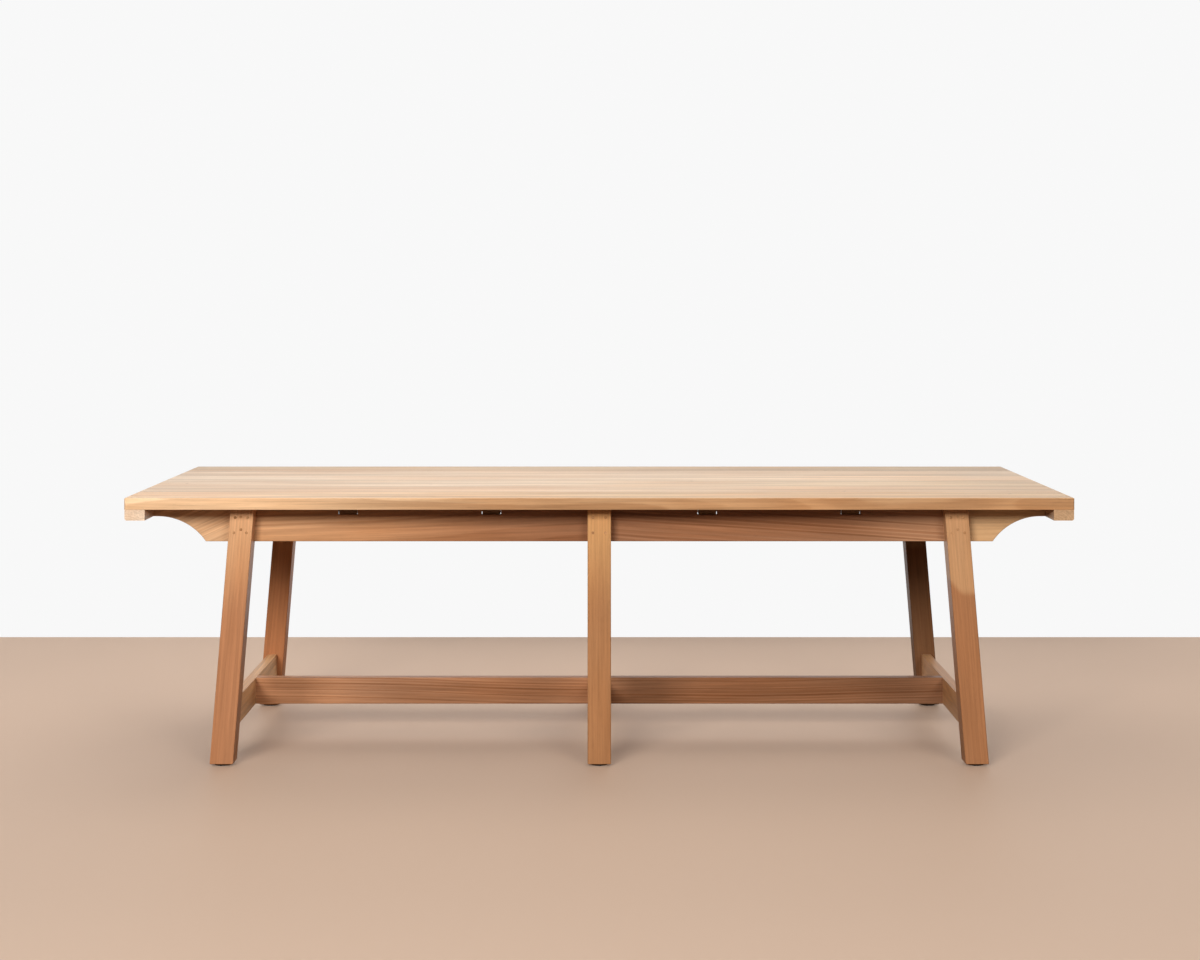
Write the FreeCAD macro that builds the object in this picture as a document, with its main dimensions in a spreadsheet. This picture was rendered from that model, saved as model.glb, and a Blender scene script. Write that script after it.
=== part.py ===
# A long dining table of solid wood. A planked top on battens stands on four splayed end legs and two
# plumb middle legs, joined by aprons, top rails and low stretchers, with curved corbels at the ends.
# Millimetres. X runs along the table, the front faces -Y, Z is up, and the origin is on the floor
# below the middle of the top.

import FreeCAD, Part
import os
import re
import Sketcher

# Driving sizes

SIZES = {
    # The top
    "table_length": 2600,
    "table_width": 1000,
    "table_height": 750,
    "board_thickness": 32,
    "board_edge_radius": 3.5,
    "board_corner_extra": 2.5,
    "board_seam_bevel": 0.6,
    "spline_thickness": 8,
    "spline_depth": 10,
    "spline_stop": 60,
    # The battens under it
    "end_batten_width": 55,
    "end_batten_thickness": 30,
    "end_batten_inset": 1.5,
    "end_batten_radius": 6,
    "cross_batten_width": 50,
    "cross_batten_thickness": 25,
    "cross_batten_recess": 5,
    "cross_batten_radius": 2,
    # The aprons and corbels
    "apron_height": 100,
    "apron_thickness": 20,
    "apron_back_inset": 1,
    "apron_edge_radius": 2,
    "notch_side_gap": 2.5,
    "notch_floor_gap": 0.5,
    "corbel_flat": 69,
    "corbel_tip_straight": 13,
    # The legs
    "leg_width": 65,
    "leg_depth": 65,
    "leg_setback": 64,
    "leg_head_overhang": 312.5,
    "leg_foot_overhang": 253.5,
    "leg_edge_radius": 3,
    "leg_foot_bevel": 1.5,
    # The rails and stretchers
    "rail_thickness": 28,
    "stretcher_height": 78,
    "stretcher_floor_gap": 88,
    "stretcher_edge_radius": 2,
    "cross_stretcher_thickness": 28,
    "long_stretcher_thickness": 33,
    # Tenons and their pins
    "tenon_thickness": 10,
    "tenon_end_wood": 3.5,
    "tenon_shoulder": 14,
    "rail_tenon_length": 20,
    "cross_tenon_length": 30,
    "stub_tenon_wood": 2,
    "pin_diameter": 8,
    "pin_end_wood": 3,
    "pin_proud": 0.5,
    "pin_bevel": 0.6,
    "pin_offset": 17.5,
    "pin_margin": 15,
    "rail_pin_head_margin": 27,
    "rail_pin_foot_margin": 38,
    "rail_pin_bite": 40,
    # Screws and clips
    "screw_shank_diameter": 4.5,
    "screw_head_diameter": 9,
    "screw_head_height": 3.2,
    "screw_sink": 6,
    "screw_cover": 12,
    "screw_recess_gap": 0.5,
    "clip_width": 22,
    "clip_thickness": 2.5,
    "clip_gap": 4,
    "clip_flange": 15.5,
    "clip_drop": 14,
    "clip_reach": 9,
    "clip_slot_gap": 0.6,
    "clip_screw_bite": 12,
    # The levelling feet
    "foot_pad_diameter": 46,
    "foot_pad_height": 6.5,
    "foot_pad_bevel": 1.5,
    "foot_socket_floor": 2.5,
    "stem_diameter": 8,
    "stem_length": 32,
    "stem_bevel": 1,
    "stem_bore_gap": 1,
    "stem_bore_spare": 10,
    "insert_wall": 2.5,
    "insert_length": 22,
    # Clearances
    "fit_gap": 0.1,
    "running_gap": 0.05,
    "tenon_end_gap": 0.5,
    "overrun": 5,
}

# Where the cross battens lie, as shares of the way from the middle to the head of an end leg
BATTEN_SHARES = (0.305, 0.71)

BOARD_COUNT = 6
SIDES = ("left", "middle", "right")
ENDS = ("left", "right")
ROWS = ("front", "rear")
SIGN = {"left": -1, "middle": 0, "right": 1}
OPPOSITE = {"left": "right", "middle": "middle", "right": "left"}

doc = FreeCAD.newDocument("dining_table")
sheet = doc.addObject("Spreadsheet::Sheet", "sizes")
for line, (name, millimetres) in enumerate(SIZES.items(), 1):
    sheet.set(f"A{line}", name)
    sheet.set(f"B{line}", str(millimetres))
    sheet.setAlias(f"B{line}", name)
doc.recompute()

PIECES = []


def formula(text):
    """The text with each named size pointed at its cell."""
    return re.sub(r"[a-z_]+", lambda word: "sizes." + word[0] if word[0] in SIZES else word[0], str(text))


def number(text):
    """What a formula of named sizes comes to."""
    return float(sheet.evalExpression(formula(text)))


# Lines that several pieces share, as formulas of the named sizes

UNDERSIDE = "(table_height - board_thickness)"
APRON_FOOT = f"({UNDERSIDE} - apron_height)"
APRON_MIDDLE = f"({UNDERSIDE} - apron_height / 2)"
STRETCHER_MIDDLE = "(stretcher_floor_gap + stretcher_height / 2)"
LEG_HEAD = "(table_length / 2 - leg_head_overhang)"
LEG_FOOT = "(table_length / 2 - leg_foot_overhang)"
SPLAY_SHARE = f"((leg_head_overhang - leg_foot_overhang) / {UNDERSIDE})"
BOARD_WIDTH = f"(table_width / {BOARD_COUNT})"
LEG_ROW = "(table_width / 2 - leg_setback - leg_depth / 2)"
LEG_BACK = "(table_width / 2 - leg_setback - leg_depth)"
APRON_ROW = f"({LEG_BACK} + apron_back_inset + apron_thickness / 2)"
APRON_BACK = f"({LEG_BACK} + apron_back_inset)"
END_BATTEN_PLACE = "(table_length / 2 - end_batten_inset - end_batten_width / 2)"
TENON_FOOT = f"({APRON_FOOT} + tenon_shoulder)"
TENON_HEAD = f"({UNDERSIDE} - tenon_shoulder)"
TENON_LENGTH = "(leg_width / 2 - tenon_thickness / 2 - tenon_end_wood)"
STUB_TENON_LENGTH = "(cross_stretcher_thickness / 2 - stub_tenon_wood)"
PIN_HOLE = "(pin_diameter + 2 * fit_gap)"
PIN_DEPTH = "(leg_depth - pin_end_wood)"
PIN_HEIGHTS = (f"({TENON_HEAD} - pin_margin)", f"({TENON_FOOT} + pin_margin)")
RAIL_PIN_HEIGHTS = (f"({UNDERSIDE} - rail_pin_head_margin)", f"({APRON_FOOT} + rail_pin_foot_margin)")
SCREW_HOLE = "(screw_shank_diameter + 2 * fit_gap)"
SCREW_BITE = "(board_thickness - screw_cover)"
CLIP_HOLE = "(clip_gap + clip_thickness + clip_flange / 2)"
CLIP_SCREW_ROW = f"({APRON_BACK} - {CLIP_HOLE})"
INSERT_DIAMETER = "(stem_diameter + 2 * running_gap + 2 * insert_wall)"


def leg_line(side, height, outward=0):
    """A leg's centreline at a height, as a place along X, moved away from the table's middle."""
    if side == "middle":
        return "0"
    return f"({SIGN[side]} * ({LEG_FOOT} - {SPLAY_SHARE} * ({height}) + ({outward})))"


# Building steps

def new_body(label):
    """A piece of its own, named as a person would name it."""
    body = doc.addObject("PartDesign::Body", label)
    body.Label = label
    return body


def origin_feature(body, role):
    """One of a body's own planes or axes."""
    return next(feature for feature in body.Origin.OriginFeatures if feature.Role == role)


def new_sketch(body, plane, shift):
    """An empty sketch on a plane of the body, shifted along the plane's normal by a formula."""
    sketch = body.newObject("Sketcher::SketchObject", body.Label + "_sketch")
    sketch.AttachmentSupport = (origin_feature(body, plane), "")
    sketch.MapMode = "FlatFace"
    sketch.setExpression(".AttachmentOffset.Base.z", formula(shift))
    return sketch


def pin_point(sketch, geometry, vertex, axis, text):
    """Hold one coordinate of a sketch point at a formula."""
    constraint = Sketcher.Constraint("Distance" + axis, -1, 1, geometry, vertex, number(text))
    index = sketch.addConstraint(constraint)
    sketch.setExpression(f"Constraints[{index}]", formula(text))


def outline(body, plane, corners, shift=0, arc_side=None, arc_centre=None):
    """A closed outline through corners given as pairs of formulas. One side may be an arc that turns
    the way the corners run, with its centre on the given line."""
    sketch = new_sketch(body, plane, shift)
    points = [FreeCAD.Vector(number(across), number(up), 0) for across, up in corners]
    count = len(points)
    for side, start in enumerate(points):
        end = points[(side + 1) % count]
        if side == arc_side:
            across = number(arc_centre)
            rise = (end.y - start.y) * (end.y + start.y)
            run = (end.x - start.x) * (end.x + start.x - 2 * across)
            centre = FreeCAD.Vector(across, (rise + run) / (2 * (end.y - start.y)), 0)
            circle = Part.Circle(centre, FreeCAD.Vector(0, 0, 1), centre.distanceToPoint(start))
            sketch.addGeometry(Part.ArcOfCircle(circle, circle.parameter(start), circle.parameter(end)))
        else:
            sketch.addGeometry(Part.LineSegment(start, end))
    for side in range(count):
        sketch.addConstraint(Sketcher.Constraint("Coincident", side, 2, (side + 1) % count, 1))
    for side, (across, up) in enumerate(corners):
        pin_point(sketch, side, 1, "X", across)
        pin_point(sketch, side, 1, "Y", up)
    if arc_side is not None:
        pin_point(sketch, arc_side, 3, "X", arc_centre)
    return sketch


def circles(body, plane, centres, diameter, shift=0):
    """Circles of one diameter at centres given as pairs of formulas."""
    sketch = new_sketch(body, plane, shift)
    for across, up in centres:
        centre = FreeCAD.Vector(number(across), number(up), 0)
        circle = Part.Circle(centre, FreeCAD.Vector(0, 0, 1), number(diameter) / 2)
        index = sketch.addGeometry(circle)
        pin_point(sketch, index, 3, "X", across)
        pin_point(sketch, index, 3, "Y", up)
        constraint = sketch.addConstraint(Sketcher.Constraint("Diameter", index, number(diameter)))
        sketch.setExpression(f"Constraints[{constraint}]", formula(diameter))
    return sketch


def box_corners(low_across, low_up, high_across, high_up):
    """The corners of an upright rectangle."""
    return [(low_across, low_up), (high_across, low_up), (high_across, high_up), (low_across, high_up)]


def centred_corners(width, height):
    """The corners of a rectangle about the middle of its plane."""
    return box_corners(f"-({width}) / 2", f"-({height}) / 2", f"({width}) / 2", f"({height}) / 2")


def pad(body, sketch, depth):
    """Wood or metal grown both ways from an outline to a whole depth."""
    feature = body.newObject("PartDesign::Pad", body.Label + "_pad")
    feature.Profile = sketch
    feature.SideType = "Symmetric"
    feature.setExpression("Length", formula(depth))
    doc.recompute()
    return feature


def cut(body, sketch, reach):
    """Cut an outline or circles to a reach on both sides of their plane, and see that something went."""
    before = body.Shape.Volume
    feature = body.newObject("PartDesign::Pocket", body.Label + "_cut")
    feature.Profile = sketch
    feature.SideType = "Symmetric"
    feature.setExpression("Length", formula(f"2 * ({reach})"))
    doc.recompute()
    if body.Shape.Volume >= before:
        raise RuntimeError(f"{feature.Label} cuts nothing")
    return feature


def turned(body, corners):
    """A piece turned about its own upright axis from the outline of one half of it."""
    feature = body.newObject("PartDesign::Revolution", body.Label + "_turning")
    feature.Profile = outline(body, "XZ_Plane", corners)
    feature.ReferenceAxis = (origin_feature(body, "Z_Axis"), [""])
    doc.recompute()
    return feature


def ease(body, kind, radius, wanted):
    """Round or bevel the body's edges whose middle point is wanted."""
    base = body.Tip
    names = []
    for index, edge in enumerate(base.Shape.Edges, 1):
        middle = edge.valueAt((edge.FirstParameter + edge.LastParameter) / 2)
        if wanted(middle, edge):
            names.append(f"Edge{index}")
    feature = body.newObject(f"PartDesign::{kind}", f"{body.Label}_{kind.lower()}")
    feature.Base = (base, names)
    feature.setExpression("Radius" if kind == "Fillet" else "Size", formula(radius))
    doc.recompute()
    return feature


def near(one, other):
    """Whether two places agree to well under the smallest size."""
    return abs(one - other) < number("fit_gap") / 2


def place(piece, across, along, up, facing_back=False):
    """Stand a piece in the table, turned half round where it faces the back."""
    for axis, text in zip("xyz", (across, along, up)):
        piece.setExpression(f".Placement.Base.{axis}", formula(text))
    if facing_back:
        piece.Placement.Rotation = FreeCAD.Rotation(FreeCAD.Vector(0, 0, 1), 180)
    PIECES.append(piece)


def group(label, master, placements):
    """Equal pieces at their places, kept together under one name."""
    piece = doc.addObject("Part::Feature", label)
    piece.Label = label
    solids = []
    for placement in placements:
        solid = master.Shape.Solids[0].copy()
        solid.Placement = placement
        solids.append(solid)
    piece.Shape = Part.makeCompound(solids)
    PIECES.append(piece)


def at(across, along, up, tilt=0, facing_back=False):
    """A place for one of a group, its axis tilted about X, then turned half round if it faces the back."""
    turn = FreeCAD.Rotation(FreeCAD.Vector(0, 0, 1), 180 if facing_back else 0)
    lean = FreeCAD.Rotation(FreeCAD.Vector(1, 0, 0), tilt)
    return FreeCAD.Placement(FreeCAD.Vector(number(across), number(along), number(up)), turn * lean)


# The top: boards edge to edge on loose splines

def board_middle(index):
    """Where the middle of a board lies along Y, counted from the front."""
    return f"({index} - {(BOARD_COUNT - 1) / 2}) * {BOARD_WIDTH}"


def board_is_outer(index):
    """Whether a board is the first or the last."""
    return index in (0, BOARD_COUNT - 1)


def board_screw_row(index):
    """Where the cross battens' screws enter a board: its middle, or inside the apron on an outer board."""
    if not board_is_outer(index):
        return board_middle(index)
    between = f"(table_width / 2 - {BOARD_WIDTH} + {APRON_BACK}) / 2"
    return f"-{between}" if index == 0 else between


def batten_place(step):
    """Where a cross batten lies along X, counted outwards from the table's middle."""
    return f"({BATTEN_SHARES[step]} * {LEG_HEAD})"


def cross_batten_places():
    """The cross battens' places along X, from left to right."""
    inner, outer = batten_place(0), batten_place(1)
    return [f"-{outer}", f"-{inner}", inner, outer]


def clip_places():
    """The clips' places along X, clear of the legs and battens, from left to right."""
    inner = f"({batten_place(0)} / 2)"
    outer = f"(({batten_place(1)} + {LEG_HEAD} - leg_width / 2) / 2)"
    return [f"-{outer}", f"-{inner}", inner, outer]


def make_board(index):
    """One board of the top, its origin at the middle of its underside."""
    body = new_body(f"top_board_{index + 1}")
    middle = board_middle(index)
    outer = {0: -1, BOARD_COUNT - 1: 1}.get(index, 0)
    half_length = number("table_length / 2")
    half_width = number(f"{BOARD_WIDTH} / 2")
    top = number("board_thickness")
    pad(body, outline(body, "XY_Plane", centred_corners("table_length", BOARD_WIDTH),
                      "board_thickness / 2"), "board_thickness")
    if outer:
        ease(body, "Fillet", "board_edge_radius + board_corner_extra",
             lambda spot, edge: near(spot.z, top / 2) and near(spot.y, outer * half_width))

    def on_rim(spot, edge):
        at_end = abs(spot.x) > half_length - number("board_edge_radius + board_corner_extra")
        at_side = outer and near(spot.y, outer * half_width)
        return near(spot.z, top) and (at_end or at_side)

    ease(body, "Fillet", "board_edge_radius", on_rim)
    ease(body, "Chamfer", "board_seam_bevel",
         lambda spot, edge: near(spot.z, top) and near(spot.x, 0) and not near(spot.y, outer * half_width))
    cut(body, groove_sketch(body, outer), "spline_thickness / 2")
    end_holes = [(f"{side} * {END_BATTEN_PLACE}", 0) for side in (-1, 1)]
    holes = [(across, f"{board_screw_row(index)} - ({middle})") for across in cross_batten_places()]
    cut(body, circles(body, "XY_Plane", end_holes + holes, SCREW_HOLE), f"{SCREW_BITE} + tenon_end_gap")
    if outer:
        holes = [(across, f"{outer} * {CLIP_SCREW_ROW} - ({middle})") for across in clip_places()]
        cut(body, circles(body, "XY_Plane", holes, SCREW_HOLE), "clip_screw_bite + tenon_end_gap")
    place(body, 0, middle, UNDERSIDE)


def groove_sketch(body, outer):
    """The stopped grooves in a board's seam edges, seen from above."""
    half_length = "(table_length / 2 - spline_stop)"
    sketch = new_sketch(body, "XY_Plane", "board_thickness / 2")
    for side in (-1, 1):
        if side == outer:
            continue
        inner = f"{side} * ({BOARD_WIDTH} / 2 - spline_depth)"
        beyond = f"{side} * ({BOARD_WIDTH} / 2 + overrun)"
        corners = box_corners(f"-{half_length}", inner, half_length, beyond)
        first = sketch.GeometryCount
        points = [FreeCAD.Vector(number(across), number(up), 0) for across, up in corners]
        for step, start in enumerate(points):
            sketch.addGeometry(Part.LineSegment(start, points[(step + 1) % len(points)]))
        for step, (across, up) in enumerate(corners):
            follower = first + (step + 1) % len(corners)
            sketch.addConstraint(Sketcher.Constraint("Coincident", first + step, 2, follower, 1))
            pin_point(sketch, first + step, 1, "X", across)
            pin_point(sketch, first + step, 1, "Y", up)
    return sketch


def make_splines():
    """The loose strips that line the boards up, one in each seam."""
    master = new_body("spline_pattern")
    length = "table_length - 2 * spline_stop - 2 * tenon_end_gap"
    width = "2 * spline_depth - 2 * tenon_end_gap"
    pad(master, outline(master, "XY_Plane", centred_corners(length, width)), "spline_thickness - 2 * fit_gap")
    seams = [f"({index} - {BOARD_COUNT / 2}) * {BOARD_WIDTH}" for index in range(1, BOARD_COUNT)]
    group("board_splines", master,
          [at(0, seam, f"{UNDERSIDE} + board_thickness / 2") for seam in seams])


# The battens that keep the top flat

def make_batten(label, across, width, thickness, length, radius, rounded, screw_rows):
    """A batten across the boards, its origin at the middle of its upper face."""
    body = new_body(label)
    corners = box_corners(f"-({width}) / 2", f"-({thickness})", f"({width}) / 2", 0)
    pad(body, outline(body, "XZ_Plane", corners), length)
    half = number(width) / 2
    ease(body, "Fillet", radius, lambda spot, edge: near(spot.y, 0) and near(spot.z, -number(thickness))
         and any(near(spot.x, side * half) for side in rounded))
    centres = [(0, row) for row in screw_rows]
    cut(body, circles(body, "XY_Plane", centres, SCREW_HOLE), f"{thickness} + overrun")
    cut(body, circles(body, "XY_Plane", centres, "screw_head_diameter + 2 * screw_recess_gap",
                      f"-({thickness})"), "screw_sink")
    place(body, across, 0, UNDERSIDE)


def make_battens():
    middles = [board_middle(index) for index in range(BOARD_COUNT)]
    for side in ENDS:
        make_batten(f"end_batten_{side}", f"{SIGN[side]} * {END_BATTEN_PLACE}", "end_batten_width",
                    "end_batten_thickness", "table_width - 2 * end_batten_inset", "end_batten_radius",
                    [SIGN[side]], middles)
    screw_rows = [board_screw_row(index) for index in range(BOARD_COUNT)]
    for count, across in enumerate(cross_batten_places(), 1):
        make_batten(f"cross_batten_{count}", across, "cross_batten_width", "cross_batten_thickness",
                    f"2 * {APRON_ROW} + apron_thickness - 2 * cross_batten_recess", "cross_batten_radius",
                    (-1, 1), screw_rows)


# The aprons and corbels, in one plane behind the faces of the legs

def tenon_corners(face, way, length, gap=0, root=0):
    """The outline of an apron or corbel tenon that starts at a face and runs one way along X.
    gap widens it into its mortise, and root starts it before the face."""
    foot = f"({TENON_FOOT} - {gap})"
    head = f"({TENON_HEAD} + {gap})"
    return [
        (f"{face(foot)} - {way} * ({root})", foot),
        (f"{face(foot)} + {way} * ({length})", foot),
        (f"{face(head)} + {way} * ({length})", head),
        (f"{face(head)} - {way} * ({root})", head),
    ]


def middle_leg_face(way):
    """The side face of a middle leg, as a place along X that doesn't change with height."""
    return lambda height: f"({way} * leg_width / 2)"


def end_leg_face(side, outward):
    """The inner or outer face of an end leg, as a place along X at a height."""
    return lambda height: leg_line(side, height, f"{outward} * leg_width / 2")


def pin_centres(side, outward):
    """The two pins through a tenon in a leg, on the side of its centreline that outward points to."""
    if side == "middle":
        return [(f"{outward} * pin_offset", height) for height in PIN_HEIGHTS]
    return [(leg_line(side, height, f"{outward} * pin_offset"), height) for height in PIN_HEIGHTS]


def apron_outline():
    """The right half's apron: a slanted end at the leg, and notches for the two cross battens."""
    inner_face = end_leg_face("right", -1)
    notch_floor = f"{UNDERSIDE} - cross_batten_thickness - notch_floor_gap"
    notch_half = "(cross_batten_width / 2 + notch_side_gap)"
    corners = [
        ("leg_width / 2", APRON_FOOT),
        (inner_face(APRON_FOOT), APRON_FOOT),
        (inner_face(UNDERSIDE), UNDERSIDE),
    ]
    for centre in (batten_place(1), batten_place(0)):
        corners.append((f"{centre} + {notch_half}", UNDERSIDE))
        corners.append((f"{centre} + {notch_half}", notch_floor))
        corners.append((f"{centre} - {notch_half}", notch_floor))
        corners.append((f"{centre} - {notch_half}", UNDERSIDE))
    corners.append(("leg_width / 2", UNDERSIDE))
    return corners


def make_apron(side, row):
    """An apron from a middle leg to an end leg, tenoned into both."""
    body = new_body(f"apron_{row}_{side}")
    facing_back = side == "left"
    inward = {"front": 1, "rear": -1}[row] * (-1 if facing_back else 1)
    pad(body, outline(body, "XZ_Plane", apron_outline()), "apron_thickness")
    half = number("apron_thickness / 2")
    foot = number(APRON_FOOT)
    ease(body, "Fillet", "apron_edge_radius",
         lambda spot, edge: near(spot.z, foot) and near(abs(spot.y), half))
    to_middle = tenon_corners(middle_leg_face(1), -1, TENON_LENGTH, 0, TENON_LENGTH)
    to_end = tenon_corners(end_leg_face("right", -1), 1, TENON_LENGTH, 0, TENON_LENGTH)
    pad(body, outline(body, "XZ_Plane", to_middle), "tenon_thickness")
    pad(body, outline(body, "XZ_Plane", to_end), "tenon_thickness")
    centres = pin_centres("middle", 1) + pin_centres("right", -1)
    cut(body, circles(body, "XZ_Plane", centres, PIN_HOLE), "apron_thickness")
    slot_head = f"{UNDERSIDE} - clip_drop"
    slot_foot = f"{slot_head} - clip_thickness - clip_slot_gap"
    for centre in clip_places()[2:]:
        corners = box_corners(f"{centre} - clip_width / 2 - clip_slot_gap", slot_foot,
                              f"{centre} + clip_width / 2 + clip_slot_gap", slot_head)
        cut(body, outline(body, "XZ_Plane", corners, f"-({inward}) * apron_thickness / 2"),
            "clip_reach + clip_slot_gap")
    along = {"front": "-1", "rear": "1"}[row]
    place(body, 0, f"{along} * {APRON_ROW}", 0, facing_back)


def make_corbel(side, row):
    """The curved bracket from an end leg to the end batten, tenoned into the leg."""
    body = new_body(f"corbel_{row}_{side}")
    outer_face = end_leg_face("right", 1)
    batten_face = f"({END_BATTEN_PLACE} - end_batten_width / 2)"
    tip_foot = f"({UNDERSIDE} - end_batten_thickness)"
    corners = [
        (outer_face(UNDERSIDE), UNDERSIDE),
        (outer_face(APRON_FOOT), APRON_FOOT),
        (f"{outer_face(APRON_FOOT)} + corbel_flat", APRON_FOOT),
        (f"{batten_face} - corbel_tip_straight", tip_foot),
        (batten_face, tip_foot),
        (batten_face, UNDERSIDE),
    ]
    curve_side = len(corners) - 1 - corners.index((f"{batten_face} - corbel_tip_straight", tip_foot))
    shape = outline(body, "XZ_Plane", corners[::-1], 0, curve_side, f"{batten_face} - corbel_tip_straight")
    pad(body, shape, "apron_thickness")
    tenon = tenon_corners(outer_face, -1, TENON_LENGTH, 0, f"{TENON_LENGTH} / 4")
    pad(body, outline(body, "XZ_Plane", tenon), "tenon_thickness")
    cut(body, circles(body, "XZ_Plane", pin_centres("right", 1), PIN_HOLE), "apron_thickness")
    half = number("apron_thickness / 2")
    highest = number(f"{tip_foot} + fit_gap")
    innermost = number(f"{outer_face(APRON_FOOT)} + fit_gap")
    ease(body, "Fillet", "apron_edge_radius",
         lambda spot, edge: near(abs(spot.y), half) and spot.z < highest and spot.x > innermost)
    along = {"front": "-1", "rear": "1"}[row]
    place(body, 0, f"{along} * {APRON_ROW}", 0, side == "left")


# The legs

def make_leg(side, row):
    """A leg in its row, with mortises for what it carries. It faces the front, and a rear leg is a
    front leg of the other side turned half round."""
    body = new_body(f"leg_{row}_{side}")
    built = side if row == "front" else OPPOSITE[side]
    foot = "foot_pad_height"
    half = "leg_width / 2"
    corners = [
        (f"{leg_line(built, foot)} - {half}", foot),
        (f"{leg_line(built, foot)} + {half}", foot),
        (f"{leg_line(built, UNDERSIDE)} + {half}", UNDERSIDE),
        (f"{leg_line(built, UNDERSIDE)} - {half}", UNDERSIDE),
    ]
    pad(body, outline(body, "XZ_Plane", corners), "leg_depth")
    middle_height = number(f"({UNDERSIDE} + {foot}) / 2")
    ease(body, "Fillet", "leg_edge_radius", lambda spot, edge: near(spot.z, middle_height))
    ease(body, "Chamfer", "leg_foot_bevel", lambda spot, edge: near(spot.z, number(foot)))
    cut_apron_mortises(body, built)
    cut_back_mortises(body, built)
    cut_pin_holes(body, built)
    centre = [(leg_line(built, foot), 0)]
    cut(body, circles(body, "XY_Plane", centre, f"{INSERT_DIAMETER} + 2 * fit_gap", foot), "insert_length")
    cut(body, circles(body, "XY_Plane", centre, "stem_diameter + 2 * stem_bore_gap", foot),
        "stem_length + stem_bore_spare")
    along = {"front": "-1", "rear": "1"}[row]
    place(body, 0, f"{along} * {LEG_ROW}", 0, row == "rear")


def cut_apron_mortises(body, side):
    """The mortises for the aprons and corbels, in the plane of the aprons."""
    shift = "-(leg_depth / 2 - apron_back_inset - apron_thickness / 2)"
    length = f"{TENON_LENGTH} + tenon_end_gap"
    if side == "middle":
        tenons = [(middle_leg_face(1), -1), (middle_leg_face(-1), 1)]
    else:
        tenons = [(end_leg_face(side, -1), SIGN[side]), (end_leg_face(side, 1), -SIGN[side])]
    for face, way in tenons:
        corners = tenon_corners(face, way, length, "fit_gap", "overrun")
        cut(body, outline(body, "XZ_Plane", corners, shift), "tenon_thickness / 2 + fit_gap")


def cut_back_mortises(body, side):
    """The mortises in a leg's back for its cross stretcher and, in a middle leg, its top rail."""
    half = "(tenon_thickness / 2 + fit_gap)"
    centre = leg_line(side, STRETCHER_MIDDLE)
    corners = box_corners(f"{centre} - {half}", "stretcher_floor_gap + tenon_shoulder - fit_gap",
                          f"{centre} + {half}",
                          "stretcher_floor_gap + stretcher_height - tenon_shoulder + fit_gap")
    cut(body, outline(body, "XZ_Plane", corners, "-leg_depth / 2"), "cross_tenon_length + tenon_end_gap")
    if side == "middle":
        corners = box_corners(f"-{half}", f"{TENON_FOOT} - fit_gap", half, f"{TENON_HEAD} + fit_gap")
        cut(body, outline(body, "XZ_Plane", corners, "-leg_depth / 2"),
            "rail_tenon_length + tenon_end_gap")


def rail_pin_centres(side):
    """The two long pins from an end leg's face into the end of its top rail."""
    return [(leg_line(side, APRON_MIDDLE), height) for height in RAIL_PIN_HEIGHTS]


def cut_pin_holes(body, side):
    """The holes in a leg's face for the pins of its tenons, and through it for the long pins."""
    centres = pin_centres(side, 1) + pin_centres(side, -1)
    cut(body, circles(body, "XZ_Plane", centres, PIN_HOLE, "leg_depth / 2"), f"{PIN_DEPTH} + tenon_end_gap")
    if side != "middle":
        cut(body, circles(body, "XZ_Plane", rail_pin_centres(side), PIN_HOLE), "leg_depth / 2 + overrun")


# The rails and stretchers

def make_cross_piece(label, across, middle, thickness, height, tenon, radius):
    """A rail or stretcher along Y between a front and a rear leg, its origin at its middle."""
    body = new_body(label)
    pad(body, outline(body, "XZ_Plane", centred_corners(thickness, height)), f"2 * {LEG_BACK}")
    ease(body, "Fillet", radius, lambda spot, edge: near(spot.y, 0) and spot.z < 0)
    if tenon:
        corners = centred_corners("tenon_thickness", f"{height} - 2 * tenon_shoulder")
        pad(body, outline(body, "XZ_Plane", corners), f"2 * {LEG_BACK} + 2 * {tenon}")
    place(body, across, 0, middle)
    return body


def make_top_rail(side):
    """A rail between the heads of two legs. End rails are held by long pins, the middle one is tenoned."""
    tenon = "rail_tenon_length" if side == "middle" else None
    body = make_cross_piece(f"top_rail_{side}", leg_line(side, APRON_MIDDLE), APRON_MIDDLE,
                            "rail_thickness", "apron_height", tenon, "apron_edge_radius")
    if side != "middle":
        centres = [(0, f"{height} - {APRON_MIDDLE}") for across, height in rail_pin_centres(side)]
        for end in (-1, 1):
            cut(body, circles(body, "XZ_Plane", centres, PIN_HOLE, f"{end} * {LEG_BACK}"),
                "rail_pin_bite + tenon_end_gap")


def make_cross_stretcher(side):
    """A low stretcher between two legs, mortised for the long stretchers that meet it."""
    body = make_cross_piece(f"cross_stretcher_{side}", leg_line(side, STRETCHER_MIDDLE),
                            STRETCHER_MIDDLE, "cross_stretcher_thickness", "stretcher_height",
                            "cross_tenon_length", "stretcher_edge_radius")
    faces = {"left": [1], "middle": [-1, 1], "right": [-1]}[side]
    for face in faces:
        corners = centred_corners("tenon_thickness + 2 * fit_gap",
                                  "stretcher_height - 2 * tenon_shoulder + 2 * fit_gap")
        cut(body, outline(body, "YZ_Plane", corners, f"{face} * cross_stretcher_thickness / 2"),
            f"{STUB_TENON_LENGTH} + tenon_end_gap")


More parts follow.
